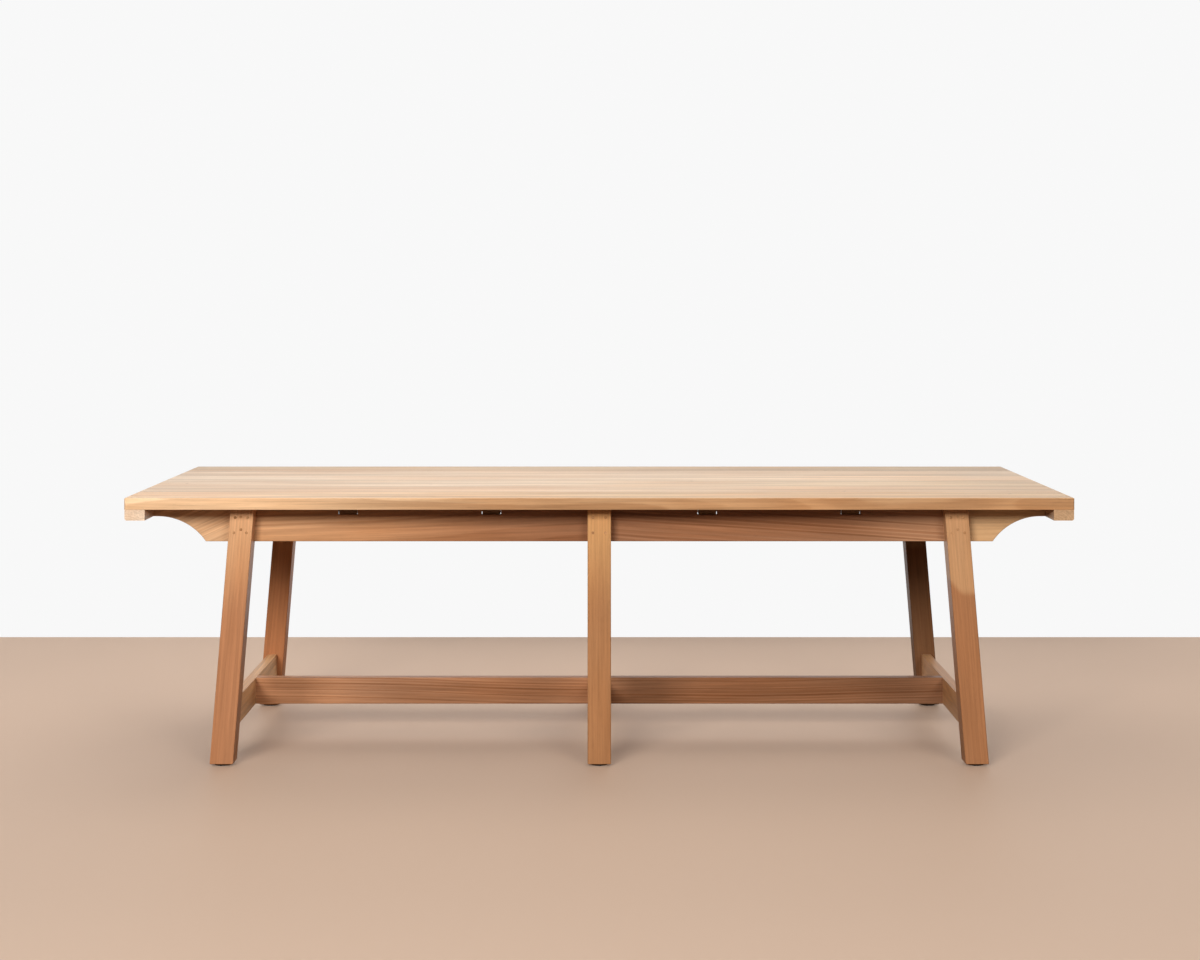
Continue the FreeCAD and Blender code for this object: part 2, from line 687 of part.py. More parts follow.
def make_long_stretcher(side):
    """A low stretcher from the middle cross stretcher to an end one, its origin at its middle."""
    body = new_body(f"long_stretcher_{side}")
    reach = leg_line("right", STRETCHER_MIDDLE)
    length = f"({reach} - cross_stretcher_thickness)"
    pad(body, outline(body, "YZ_Plane", centred_corners("long_stretcher_thickness", "stretcher_height")),
        length)
    ease(body, "Fillet", "stretcher_edge_radius", lambda spot, edge: near(spot.x, 0))
    corners = centred_corners("tenon_thickness", "stretcher_height - 2 * tenon_shoulder")
    pad(body, outline(body, "YZ_Plane", corners), f"{length} + 2 * {STUB_TENON_LENGTH}")
    place(body, f"{SIGN[side]} * {reach} / 2", 0, STRETCHER_MIDDLE)


# Pins, screws and clips

def pin_pattern(label, depth):
    """A round wooden pin, its origin where it meets the leg's face and its axis running up."""
    body = new_body(label)
    radius = "pin_diameter / 2"
    turned(body, [
        (0, "-pin_proud"),
        (f"{radius} - pin_bevel", "-pin_proud"),
        (radius, "pin_bevel - pin_proud"),
        (radius, f"{depth} - pin_bevel"),
        (f"{radius} - pin_bevel", depth),
        (0, depth),
    ])
    return body


def pin_places(side, centres):
    """Pins driven into the faces of a front and a rear leg."""
    front_face = "-(table_width / 2 - leg_setback)"
    return [at(across, f"{-1 if row == 'rear' else 1} * {front_face}", height, 90 if row == "rear" else -90)
            for row in ROWS for across, height in centres]


def make_pins():
    short = pin_pattern("short_pin_pattern", PIN_DEPTH)
    apron_places = pin_places("middle", pin_centres("middle", 1) + pin_centres("middle", -1))
    corbel_places = []
    rail_places = []
    for side in ENDS:
        apron_places += pin_places(side, pin_centres(side, -1))
        corbel_places += pin_places(side, pin_centres(side, 1))
        rail_places += pin_places(side, rail_pin_centres(side))
    group("apron_pins", short, apron_places)
    group("corbel_pins", short, corbel_places)
    group("rail_pins", pin_pattern("long_pin_pattern", "leg_depth + rail_pin_bite"), rail_places)


def screw_pattern(label, length):
    """A screw that points up, its origin at the seat of its head."""
    body = new_body(label)
    shank = "screw_shank_diameter / 2"
    turned(body, [
        (0, "-screw_head_height"),
        ("screw_head_diameter / 3", "-screw_head_height"),
        ("screw_head_diameter / 2", "-screw_head_height / 3"),
        ("screw_head_diameter / 2", 0),
        (shank, 0),
        (shank, f"{length} - {shank}"),
        (0, length),
    ])
    return body


def make_batten_screws():
    """The screws that hold the boards to the end battens, and shorter ones for the cross battens."""
    end_grip = "(end_batten_thickness - screw_sink)"
    cross_grip = "(cross_batten_thickness - screw_sink)"
    end_screws = []
    cross_screws = []
    for index in range(BOARD_COUNT):
        for side in (-1, 1):
            across = f"{side} * {END_BATTEN_PLACE}"
            end_screws.append(at(across, board_middle(index), f"{UNDERSIDE} - {end_grip}"))
        for across in cross_batten_places():
            cross_screws.append(at(across, board_screw_row(index), f"{UNDERSIDE} - {cross_grip}"))
    long_screw = screw_pattern("end_screw_pattern", f"{end_grip} + {SCREW_BITE}")
    group("end_batten_screws", long_screw, end_screws)
    short_screw = screw_pattern("cross_screw_pattern", f"{cross_grip} + {SCREW_BITE}")
    group("cross_batten_screws", short_screw, cross_screws)


def make_clips():
    """The steel clips whose tongues sit in the aprons and whose flanges are screwed to the top."""
    clip = new_body("clip_pattern")
    corners = [
        ("clip_gap", 0),
        ("clip_gap", "-clip_drop"),
        ("-clip_reach", "-clip_drop"),
        ("-clip_reach", "-clip_drop - clip_thickness"),
        ("clip_gap + clip_thickness", "-clip_drop - clip_thickness"),
        ("clip_gap + clip_thickness", "-clip_thickness"),
        ("clip_gap + clip_thickness + clip_flange", "-clip_thickness"),
        ("clip_gap + clip_thickness + clip_flange", 0),
    ]
    pad(clip, outline(clip, "YZ_Plane", corners), "clip_width")
    cut(clip, circles(clip, "XY_Plane", [(0, CLIP_HOLE)], SCREW_HOLE), "clip_thickness + fit_gap")
    screw = screw_pattern("clip_screw_pattern", "clip_thickness + clip_screw_bite")
    clips = []
    screws = []
    for row in ROWS:
        back = row == "rear"
        way = 1 if back else -1
        for across in clip_places():
            clips.append(at(across, f"{way} * {APRON_BACK}", UNDERSIDE, 0, back))
            screws.append(at(across, f"{way} * {CLIP_SCREW_ROW}", f"{UNDERSIDE} - clip_thickness"))
    group("top_clips", clip, clips)
    group("clip_screws", screw, screws)


# The levelling feet

def foot_place(side, row):
    """Where a foot stands, as places along X and Y."""
    return leg_line(side, "foot_pad_height"), f"{-1 if row == 'front' else 1} * {LEG_ROW}"


def make_inserts():
    """The threaded sleeves in the ends of the legs, flush with the wood."""
    master = new_body("insert_pattern")
    bore = "stem_diameter / 2 + running_gap"
    outside = f"{INSERT_DIAMETER} / 2"
    turned(master, [(bore, 0), (outside, 0), (outside, "insert_length"), (bore, "insert_length")])
    places = [at(*foot_place(side, row), "foot_pad_height") for row in ROWS for side in SIDES]
    group("foot_inserts", master, places)


def make_foot(side, row):
    """One levelling foot: a round pad on the floor and the stem that rises from it into the leg."""
    across, along = foot_place(side, row)
    pad_body = new_body(f"foot_pad_{row}_{side}")
    radius = "foot_pad_diameter / 2"
    socket = "stem_diameter / 2 + fit_gap"
    turned(pad_body, [
        (0, 0),
        (f"{radius} - foot_pad_bevel", 0),
        (radius, "foot_pad_bevel"),
        (radius, "foot_pad_height - foot_pad_bevel / 2"),
        (f"{radius} - foot_pad_bevel / 2", "foot_pad_height"),
        (socket, "foot_pad_height"),
        (socket, "foot_socket_floor"),
        (0, "foot_socket_floor"),
    ])
    place(pad_body, across, along, 0)
    stem = new_body(f"foot_stem_{row}_{side}")
    shank = "stem_diameter / 2"
    turned(stem, [
        (0, "foot_socket_floor"),
        (shank, "foot_socket_floor"),
        (shank, "foot_pad_height + stem_length - stem_bevel"),
        (f"{shank} - stem_bevel", "foot_pad_height + stem_length"),
        (0, "foot_pad_height + stem_length"),
    ])
    place(stem, across, along, 0)


def build():
    """Every piece of the table, from the top down."""
    for index in range(BOARD_COUNT):
        make_board(index)
    make_splines()
    make_battens()
    for row in ROWS:
        for side in ENDS:
            make_apron(side, row)
            make_corbel(side, row)
        for side in SIDES:
            make_leg(side, row)
            make_foot(side, row)
    for side in SIDES:
        make_top_rail(side)
        make_cross_stretcher(side)
    for side in ENDS:
        make_long_stretcher(side)
    make_pins()
    make_batten_screws()
    make_clips()
    make_inserts()
    doc.recompute()


def check():
    """Stop if any step failed or any piece came out empty or broken."""
    for item in doc.Objects:
        if "Invalid" in item.State or "Error" in item.State:
            raise RuntimeError(f"{item.Label} failed: {item.State}")
    for piece in PIECES:
        if piece.Shape.isNull() or not piece.Shape.isValid():
            raise RuntimeError(f"{piece.Label} has no sound shape")


def write():
    """One file for each piece, under its name."""
    os.makedirs("parts", exist_ok=True)
    for piece in PIECES:
        piece.Shape.exportStep(f"parts/{piece.Label}.step")
        box = piece.Shape.BoundBox
        print(f"{piece.Label}: {len(piece.Shape.Solids)} solid(s), x {box.XMin:.1f} to {box.XMax:.1f},"
              f" y {box.YMin:.1f} to {box.YMax:.1f}, z {box.ZMin:.1f} to {box.ZMax:.1f}")


build()
check()
write()
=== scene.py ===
# %% [markdown]
# # A long dining table of solid wood
#
# The table's solids come from its CAD model and keep their shapes. This lesson gives them their looks,
# oiled wood, steel, brass and plastic, and models what plain solids don't show: the cross in a screw's
# head, the thread of a levelling foot and the bends of a steel clip.

# %% Load the solids
import functools
import math

import bpy
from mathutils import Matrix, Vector


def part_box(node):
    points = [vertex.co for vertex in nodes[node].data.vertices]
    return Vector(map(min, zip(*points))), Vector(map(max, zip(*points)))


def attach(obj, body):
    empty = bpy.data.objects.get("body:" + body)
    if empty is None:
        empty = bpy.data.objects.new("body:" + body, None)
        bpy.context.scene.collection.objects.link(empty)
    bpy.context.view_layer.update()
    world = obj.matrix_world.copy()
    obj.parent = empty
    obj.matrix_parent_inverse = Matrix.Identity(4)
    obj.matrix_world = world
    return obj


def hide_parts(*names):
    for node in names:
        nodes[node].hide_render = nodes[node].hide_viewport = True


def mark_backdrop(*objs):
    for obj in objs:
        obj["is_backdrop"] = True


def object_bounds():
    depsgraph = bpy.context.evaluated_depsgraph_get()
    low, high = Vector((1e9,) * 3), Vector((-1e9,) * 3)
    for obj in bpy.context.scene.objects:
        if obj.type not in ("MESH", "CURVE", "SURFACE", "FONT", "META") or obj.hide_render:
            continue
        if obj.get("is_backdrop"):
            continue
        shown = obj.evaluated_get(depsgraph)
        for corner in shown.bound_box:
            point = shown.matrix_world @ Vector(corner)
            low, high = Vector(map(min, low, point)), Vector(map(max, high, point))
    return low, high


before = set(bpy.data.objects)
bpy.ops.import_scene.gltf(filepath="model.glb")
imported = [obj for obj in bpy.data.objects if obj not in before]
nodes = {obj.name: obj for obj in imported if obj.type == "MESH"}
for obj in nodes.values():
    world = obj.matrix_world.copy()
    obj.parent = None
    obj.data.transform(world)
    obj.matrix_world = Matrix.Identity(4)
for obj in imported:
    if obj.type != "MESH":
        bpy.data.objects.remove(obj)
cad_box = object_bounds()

bpy.ops.object.select_all(action="DESELECT")
print(f"{len(nodes)} nodes, {cad_box[1].x - cad_box[0].x:.3f} m long")

# %% [markdown]
# ## The camera
#
# A table is usually photographed from a little above its top. A camera tipped down to take in the feet
# would make the legs lean in the picture, so this one stays level and its lens is shifted down instead.
# A long lens keeps the far edge nearly as long as the near one.

# %% Place the camera
CAMERA_PLACE = (0.0, -5.94, 1.305)
FOCAL_LENGTH = 59.7
LENS_SHIFT = (0.0006, -0.1542)
camera_data = bpy.data.cameras.new("camera")
camera_data.lens = FOCAL_LENGTH
camera_data.shift_x, camera_data.shift_y = LENS_SHIFT
camera = bpy.data.objects.new("camera", camera_data)
camera.location = CAMERA_PLACE
camera.rotation_euler = (math.radians(90), 0, 0)
bpy.context.scene.collection.objects.link(camera)
bpy.context.scene.camera = camera
print(f"camera at {CAMERA_PLACE}")

# %% [markdown]
# ## Helpers for materials
#
# A procedural material is a small machine of nodes. Made one by one, they would fill pages, so each of
# these helpers makes one part of the machine. It takes plain values or other nodes' sockets, and gives
# back the socket of its result.

# %% Helpers that add shader nodes
def feed(tree, socket, value):
    """Set a socket, or link it to another node's socket."""
    if isinstance(value, bpy.types.NodeSocket):
        tree.links.new(value, socket)
    elif socket.type == "RGBA":
        socket.default_value = (*value[:3], 1)
    else:
        socket.default_value = value


def calculate(tree, operation, first, second=0.0):
    """A sum on numbers."""
    node = tree.nodes.new("ShaderNodeMath")
    node.operation = operation
    feed(tree, node.inputs[0], first)
    feed(tree, node.inputs[1], second)
    return node.outputs[0]


def combine(tree, operation, first, second=(0, 0, 0)):
    """A sum on vectors. Length and dot product give a number."""
    node = tree.nodes.new("ShaderNodeVectorMath")
    node.operation = operation
    feed(tree, node.inputs[0], first)
    feed(tree, node.inputs["Scale"] if operation == "SCALE" else node.inputs[1], second)
    return node.outputs["Value" if operation in ("LENGTH", "DOT_PRODUCT") else "Vector"]


def rise(tree, value, low, high, start=0.0, end=1.0):
    """A smooth step from start to end while the value goes from low to high."""
    node = tree.nodes.new("ShaderNodeMapRange")
    node.interpolation_type = "SMOOTHSTEP"
    for socket, number in zip(node.inputs, (value, low, high, start, end)):
        feed(tree, socket, number)
    return node.outputs[0]


def mix(tree, share, first, second, blend="MIX"):
    """A mix of two colours."""
    node = tree.nodes.new("ShaderNodeMix")
    node.data_type = "RGBA"
    node.blend_type = blend
    feed(tree, node.inputs[0], share)
    feed(tree, node.inputs[6], first)
    feed(tree, node.inputs[7], second)
    return node.outputs[2]


def noise(tree, place, stretch, detail=2.0, colour=False, fineness=0.5):
    """Noise with so many features a metre along each axis."""
    node = tree.nodes.new("ShaderNodeTexNoise")
    feed(tree, node.inputs["Vector"], combine(tree, "MULTIPLY", place, stretch))
    node.inputs["Scale"].default_value = 1
    node.inputs["Detail"].default_value = detail
    node.inputs["Roughness"].default_value = fineness
    return node.outputs["Color" if colour else 0]


def split(tree, vector):
    """The three numbers of a vector."""
    node = tree.nodes.new("ShaderNodeSeparateXYZ")
    feed(tree, node.inputs[0], vector)
    return node.outputs


# %% [markdown]
# Edges are where hands and cloths rub a finish thin, and on the wood they also carry painted highlights
# and painted shade in seams. A map of them could be painted on each piece, but the Bevel node finds them
# on any piece by itself: near an edge its softened normal leaves the true one, and the dot product of
# the two falls below 1.

# %% A helper that finds edges
EDGE_STARTS = 0.995
BEVEL_SAMPLES = 4


def near_edge(tree, radius, full):
    """How near an edge is, from 0 to 1. It is 1 where the two normals agree no more than full."""
    bevel = tree.nodes.new("ShaderNodeBevel")
    bevel.samples = BEVEL_SAMPLES
    feed(tree, bevel.inputs["Radius"], radius)
    true_normal = tree.nodes.new("ShaderNodeNewGeometry").outputs["True Normal"]
    agreement = combine(tree, "DOT_PRODUCT", bevel.outputs[0], true_normal)
    return rise(tree, agreement, EDGE_STARTS, full)


# %% [markdown]
# ## Wood
#
# Real grain is one pattern through the whole piece: growth rings round the tree's middle, the pith.
# Faces cut them into long arches, straight lines or arcs. Lines drawn on each face alone would break at
# its edges, so the wood here is a solid pattern that every face cuts, as a saw does. One node group
# holds all of it, and each piece gives the group its own place, pith and tones.

# %% Start the wood's node group
WOOD_SETTINGS = {
    "Vector": ("Centre", "Turn", "Seed", "Pith"),
    "Float": ("Ring width", "Rings", "Summer from", "Bands", "Side bands", "Streaks", "Change at",
              "Change width", "Edge width", "Edge share", "Edge wear and painted light"),
    "Color": ("Tone", "Far tone", "Side tone", "Side far tone", "End tint"),
}
WOOD_RESULTS = {"Colour": "Color", "Roughness": "Float", "Height": "Float"}
wood_tree = bpy.data.node_groups.new("oiled_wood", "ShaderNodeTree")
for kind, names in WOOD_SETTINGS.items():
    for name in names:
        wood_tree.interface.new_socket(name, in_out="INPUT", socket_type=f"NodeSocket{kind}")
for name, kind in WOOD_RESULTS.items():
    wood_tree.interface.new_socket(name, in_out="OUTPUT", socket_type=f"NodeSocket{kind}")
wood_in = wood_tree.nodes.new("NodeGroupInput").outputs
wood_out = wood_tree.nodes.new("NodeGroupOutput").inputs
print(f"wood group with {len(wood_in) - 1} settings")

# %% [markdown]
# The wood is mostly sums, and its tree's name in each would hide what they say. So the helpers get
# short forms for that tree.

# %% Short forms of the helpers for the wood
wood_sum = functools.partial(calculate, wood_tree)
wood_vector = functools.partial(combine, wood_tree)
wood_rise = functools.partial(rise, wood_tree)
wood_mix = functools.partial(mix, wood_tree)
wood_noise = functools.partial(noise, wood_tree)
wood_split = functools.partial(split, wood_tree)


def times(first, second):
    """Two numbers multiplied."""
    return wood_sum("MULTIPLY", first, second)


def report(made):
    """Say what was made."""
    print(f"{made} made, {len(wood_tree.nodes)} nodes so far")


# %% [markdown]
# The piece's own coordinates come first: x along the grain, y and z across it. The pattern could be
# made along the room's axes, but then a leaning leg would be cut from slanting grain. A Mapping node
# set to Texture takes the piece's middle away and turns the rest back, so the grain leans with the leg.
# The seed moves the noises to fresh ground, so no two pieces look alike.

# %% The piece's own coordinates
def in_own_frame(source, middle=(0, 0, 0)):
    """A point or a normal of the piece in the piece's own frame."""
    mapping = wood_tree.nodes.new("ShaderNodeMapping")
    mapping.vector_type = "TEXTURE"
    feed(wood_tree, mapping.inputs["Vector"], source)
    feed(wood_tree, mapping.inputs["Location"], middle)
    feed(wood_tree, mapping.inputs["Rotation"], wood_in["Turn"])
    return mapping.outputs[0]


coordinates = wood_tree.nodes.new("ShaderNodeTexCoord").outputs
spot = in_own_frame(coordinates["Object"], wood_in["Centre"])
facing = wood_split(in_own_frame(coordinates["Normal"]))
ground = wood_vector("ADD", spot, wood_in["Seed"])
report("own coordinates")

# %% [markdown]
# A knot is the foot of a branch. Placing knots by hand would take long, so a texture of cells scatters
# them, and one cell in five holds one. Distances are in metres, so a knot stays nearly round although
# its cell is long. The rings swell round it.

# %% Small knots
KNOTS_ALONG = 1.3
KNOTS_ACROSS = 9.0
KNOT_CHANCE = (0.80, 0.82)
KNOT_SQUASH = (0.7, 1, 0)
KNOT_RIM = (0.0025, 0.0052)
SWELL_REACH = 0.028
SWELL_HEIGHT = 0.011
knot_cells = wood_tree.nodes.new("ShaderNodeTexVoronoi")
knot_cells.inputs["Scale"].default_value = 1
cell_place = wood_vector("MULTIPLY", ground, (KNOTS_ALONG, KNOTS_ACROSS, 0))
feed(wood_tree, knot_cells.inputs["Vector"], cell_place)
knot_centre = wood_vector("DIVIDE", knot_cells.outputs["Position"], (KNOTS_ALONG, KNOTS_ACROSS, 1))
knot_away = wood_vector("MULTIPLY", wood_vector("SUBTRACT", ground, knot_centre), KNOT_SQUASH)
knot_distance = wood_vector("LENGTH", knot_away)
knot_chance = wood_rise(wood_split(knot_cells.outputs["Color"])[0], *KNOT_CHANCE)
knot = times(knot_chance, wood_rise(knot_distance, *KNOT_RIM, 1.0, 0.0))
knot_swell = times(knot_chance, wood_rise(knot_distance, 0.0, SWELL_REACH, SWELL_HEIGHT, 0.0))
report("knots")

# %% [markdown]
# Rings round a straight pith would be too perfect, as no tree grows straight. A slow bend and a fine
# wobble move each point first, then its distance from the pith is divided by the ring width. That gives
# its age in years, and uneven years make some rings wide and some narrow.

# %% The age of each point
BEND_STRETCH = (0.8, 2.2, 2.2)
BEND_SPREAD = (0.0, 0.075, 0.075)
WOBBLE_STRETCH = (6, 34, 34)
WOBBLE_SPREAD = (0.0, 0.002, 0.002)
NOISE_MIDDLE = (0.5, 0.5, 0.5)
CHANGES_A_YEAR = 0.45
UNEVEN_YEARS = 2.2


def wander(stretch, detail, spread):
    """A random move of each point, by up to half the spread either way."""
    move = wood_vector("SUBTRACT", wood_noise(ground, stretch, detail, colour=True), NOISE_MIDDLE)
    return wood_vector("MULTIPLY", move, spread)


moved = wood_vector("ADD", spot, wander(BEND_STRETCH, 1.0, BEND_SPREAD))
moved = wood_vector("ADD", moved, wander(WOBBLE_STRETCH, 2.0, WOBBLE_SPREAD))
from_pith = wood_vector("MULTIPLY", wood_vector("SUBTRACT", moved, wood_in["Pith"]), (0, 1, 1))
pith_distance = wood_sum("ADD", wood_vector("LENGTH", from_pith), knot_swell)
years = wood_sum("DIVIDE", pith_distance, wood_in["Ring width"])
uneven = wood_tree.nodes.new("ShaderNodeTexNoise")
uneven.noise_dimensions = "1D"
uneven.inputs["Scale"].default_value = CHANGES_A_YEAR
feed(wood_tree, uneven.inputs["W"], years)
years = wood_sum("ADD", years, times(uneven.outputs[0], UNEVEN_YEARS))
report("ages")

# %% [markdown]
# Each year starts with pale spring wood, darkens slowly to summer wood and ends sharply. A sine wave
# would give even stripes without that sharp end, so the fraction of the year drives two smooth steps
# instead. White noise on the whole years gives each year a strength of its own.

# %% Growth rings
SPRING_ENDS = 0.05
SUMMER_ENDS = 0.84
WEAKEST_YEAR = 0.35
season = wood_sum("FRACT", years)
year_strength = wood_tree.nodes.new("ShaderNodeTexWhiteNoise")
year_strength.noise_dimensions = "1D"
feed(wood_tree, year_strength.inputs["W"], wood_sum("FLOOR", years))
darkening = wood_rise(season, SPRING_ENDS, wood_in["Summer from"])
summer = times(darkening, wood_rise(season, SUMMER_ENDS, 1.0, 1.0, 0.0))
summer = times(summer, wood_rise(year_strength.outputs["Value"], 0, 1, WEAKEST_YEAR, 1.0))
summer = times(summer, wood_in["Rings"])
report("rings")

# %% [markdown]
# Along the grain everything is long and thin. Bands are broad, streaks narrower, fibres fine, and pores
# are short dark dashes. Each is noise that is stretched along x. On an end face the same noises are cut
# across and show as specks. On faces that look forward the bands may be calmer.

# %% Bands, streaks, fibres and pores
BAND_STRETCH = (1.0, 27, 27)
BAND_RANGE = (0.28, 0.72)
BAND_FINENESS = 0.68
SIDE_RANGE = (0.3, 0.85)
STREAK_STRETCH = (2.4, 120, 120)
STREAK_RANGE = (0.32, 0.68)
FIBRE_STRETCH = (4.5, 210, 210)
PORE_STRETCH = (38, 1300, 1300)
PORE_RANGE = (0.62, 0.72)
DRIFT_STRETCH = (1.7, 6, 6)
DRIFT_RANGE = (0.35, 0.7)
band = wood_rise(wood_noise(ground, BAND_STRETCH, 4.0, fineness=BAND_FINENESS), *BAND_RANGE, -0.5, 0.5)
band = times(band, wood_in["Bands"])
side_share = wood_rise(wood_sum("ABSOLUTE", facing[1]), *SIDE_RANGE)
side_loss = times(side_share, wood_sum("SUBTRACT", 1.0, wood_in["Side bands"]))
band = times(band, wood_sum("SUBTRACT", 1.0, side_loss))
streak = wood_rise(wood_noise(ground, STREAK_STRETCH), *STREAK_RANGE, -0.5, 0.5)
fibre = wood_sum("SUBTRACT", wood_noise(ground, FIBRE_STRETCH, 3.0), 0.5)
pore = wood_rise(wood_noise(ground, PORE_STRETCH, 1.0), *PORE_RANGE)
drift = wood_rise(wood_noise(ground, DRIFT_STRETCH), *DRIFT_RANGE)
report("grain")

# %% [markdown]
# Oil wears off first along the edges, but never evenly, so noise breaks up what the Bevel node finds.
# The same broken edges carry painted highlights on rounded edges and painted shade in seams.

# %% Worn edges, painted highlights and seam shade
WOOD_EDGE_FULL = 0.86
EDGE_BREAKUP_STRETCH = (30, 60, 60)
EDGE_BREAKUP_RANGE = (0.35, 0.6)
edge = near_edge(wood_tree, wood_in["Edge width"], WOOD_EDGE_FULL)
edge = times(edge, wood_rise(wood_noise(ground, EDGE_BREAKUP_STRETCH), *EDGE_BREAKUP_RANGE))
report("edges")

# %% [markdown]
# Now the colour. The tone may change part of the way along a piece, where pale sapwood meets redder
# heartwood, and on some pieces a painted fall of light runs along it too. Faces that look forward may
# have tones of their own, which on the front board carry painted light as well. Dark lines laid over one
# tone look printed, so drifts, rings and knots multiply it by colours of their own instead.

# %% The wood's tones
SUMMER_TINT = (0.60, 0.47, 0.36)
RED_TINT = (1.0, 0.90, 0.80)
KNOT_TINT = (0.42, 0.31, 0.23)
BORDER_STRETCH = (5, 16, 16)
BORDER_REACH = 0.10


def tinted(share, tone, tint):
    """A tone that is tinted by so large a share."""
    return wood_mix(share, tone, wood_mix(1.0, tone, tint, "MULTIPLY"))


ragged = times(wood_noise(ground, BORDER_STRETCH, 1.0), BORDER_REACH)
border = wood_sum("ADD", wood_split(spot)[0], ragged)
# The change is sapwood meeting heartwood, and on some pieces a painted fall of light as well.
change = wood_sum("DIVIDE", wood_sum("SUBTRACT", border, wood_in["Change at"]), wood_in["Change width"])
change = wood_rise(change, -0.5, 0.5)
tone = wood_mix(change, wood_in["Tone"], wood_in["Far tone"])
side_tone = wood_mix(change, wood_in["Side tone"], wood_in["Side far tone"])
tone = wood_mix(side_share, tone, side_tone)
tone = tinted(drift, tone, RED_TINT)
tone = tinted(summer, tone, SUMMER_TINT)
report("tones")

# %% [markdown]
# Fibres, pores and streaks make the tone lighter or darker. A band changes its blue more than its red,
# because a darker band of oiled wood is warmer too. Knots, end grain and edges lie over everything else,
# so they come last. Edges are lighter for wear with a painted highlight, and on the boards' seams and
# round the pins darker with painted shade.

# %% Put the wood's colour together
FIBRE_SHADE = 0.6
PORE_SHADE = 0.13
BAND_TINT = (0.8, 1.0, 1.25)
END_RANGE = (0.6, 0.9)
shade = wood_sum("ADD", times(fibre, FIBRE_SHADE), 1.0)
shade = wood_sum("SUBTRACT", shade, times(pore, PORE_SHADE))
shade = wood_sum("ADD", shade, times(streak, wood_in["Streaks"]))
tone = wood_vector("SCALE", tone, shade)
band_tint = wood_vector("ADD", (1, 1, 1), wood_vector("SCALE", BAND_TINT, band))
tone = wood_vector("MULTIPLY", tone, band_tint)
tone = tinted(knot, tone, KNOT_TINT)
# End tint: the end grain's own tint; on the cross battens it is painted shade in the apron notches.
end_share = wood_rise(wood_sum("ABSOLUTE", facing[0]), *END_RANGE)
tone = tinted(end_share, tone, wood_in["End tint"])
# Edges: lighter for wear with a painted highlight, darker with painted shade in seams and round pins.
edge_share = times(edge, wood_in["Edge share"])
tone = wood_mix(edge_share, tone, wood_vector("SCALE", tone, wood_in["Edge wear and painted light"]))
feed(wood_tree, wood_out["Colour"], tone)
report("colour")

# %% [markdown]
# Oiled wood is silky: fibres scatter the light, while hard summer wood and rubbed edges shine a little
# more. Its relief is far too fine to model, so it goes to a Bump node as a height.

# %% The wood's roughness and relief
MEAN_ROUGHNESS = 0.41
FIBRE_ROUGHNESS = 0.22
SUMMER_POLISH = 0.07
EDGE_POLISH = 0.08
FIBRE_RELIEF = 0.7
SUMMER_RELIEF = 0.3
PORE_RELIEF = 0.6
rough = wood_sum("ADD", times(fibre, FIBRE_ROUGHNESS), MEAN_ROUGHNESS)
rough = wood_sum("SUBTRACT", rough, times(summer, SUMMER_POLISH))
rough = wood_sum("SUBTRACT", rough, times(edge, EDGE_POLISH))
feed(wood_tree, wood_out["Roughness"], rough)
relief = wood_sum("ADD", times(fibre, FIBRE_RELIEF), times(summer, SUMMER_RELIEF))
relief = wood_sum("SUBTRACT", relief, times(pore, PORE_RELIEF))
feed(wood_tree, wood_out["Height"], relief)
report("roughness and relief")

# %% [markdown]
# One wood material for all would give them the same tones and rings, so a function gives each solid its
# own. Its grain runs along the table, across it, or up a leg, and the end legs lean. Plain values, such
# as the sheen, sit on the shader itself, where the export can read them.

# %% Dress a piece in wood
SPLAY = 0.0822
LEAN = math.atan(SPLAY)
UPRIGHT = -math.radians(90)
GRAIN_TURNS = {
    "length": (0, 0, 0),
    "width": (0, 0, math.radians(90)),
    "height": (0, UPRIGHT, 0),
    "left": (0, UPRIGHT + LEAN, 0),
    "right": (0, UPRIGHT - LEAN, 0),
}
SEED_STEPS = (7.31, 3.77, 5.13)
RELIEF_STRENGTH = 0.6
RELIEF_DEPTH = 0.0003
pieces_dressed = []


def dress(name, grain, tone, far_tone=None, change=(0.0, 1.0), pith=(0.02, -0.12), ring=0.010, rings=0.5,
          summer_from=0.7, bands=0.15, side_bands=1.0, streaks=0.13, slope=0.0, side_tones=None,
          end_tint=(0.9, 0.86, 0.8), edge=(0.003, 0.25, 1.35), sheen=0.2):
    """Oiled wood of its own for one solid. The slope tips the grain, in degrees. A change of tone has a
    place along the grain and a width. An edge has a width, a share and how light it is: lighter for wear
    with a painted highlight, darker for painted shade in a seam."""
    pieces_dressed.append(name)
    low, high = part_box(name)
    turn_x, turn_y, turn_z = GRAIN_TURNS[grain]
    far_tone = far_tone or tone
    side_tone, side_far_tone = side_tones or (tone, far_tone)
    settings = {
        "Centre": (low + high) / 2,
        "Turn": (turn_x, turn_y - math.radians(slope), turn_z),
        "Seed": [step * len(pieces_dressed) for step in SEED_STEPS],
        "Pith": (0, *pith),
        "Ring width": ring, "Rings": rings, "Summer from": summer_from,
        "Bands": bands, "Side bands": side_bands, "Streaks": streaks,
        "Change at": change[0], "Change width": change[1],
        "Edge width": edge[0], "Edge share": edge[1], "Edge wear and painted light": edge[2],
        "Tone": tone, "Far tone": far_tone, "End tint": end_tint,
        "Side tone": side_tone, "Side far tone": side_far_tone,
    }
    material = bpy.data.materials.new(f"{name}_wood")
    material.use_nodes = True
    tree = material.node_tree
    group = tree.nodes.new("ShaderNodeGroup")
    group.node_tree = wood_tree
    for setting, value in settings.items():
        feed(tree, group.inputs[setting], value)
    bump = tree.nodes.new("ShaderNodeBump")
    bump.inputs["Strength"].default_value = RELIEF_STRENGTH
    bump.inputs["Distance"].default_value = RELIEF_DEPTH
    feed(tree, bump.inputs["Height"], group.outputs["Height"])
    shader = tree.nodes["Principled BSDF"]
    shader.inputs["Specular IOR Level"].default_value = sheen
    feed(tree, shader.inputs["Base Color"], group.outputs["Colour"])
    feed(tree, shader.inputs["Roughness"], group.outputs["Roughness"])
    feed(tree, shader.inputs["Normal"], bump.outputs["Normal"])
    nodes[name].material_slots[0].material = material
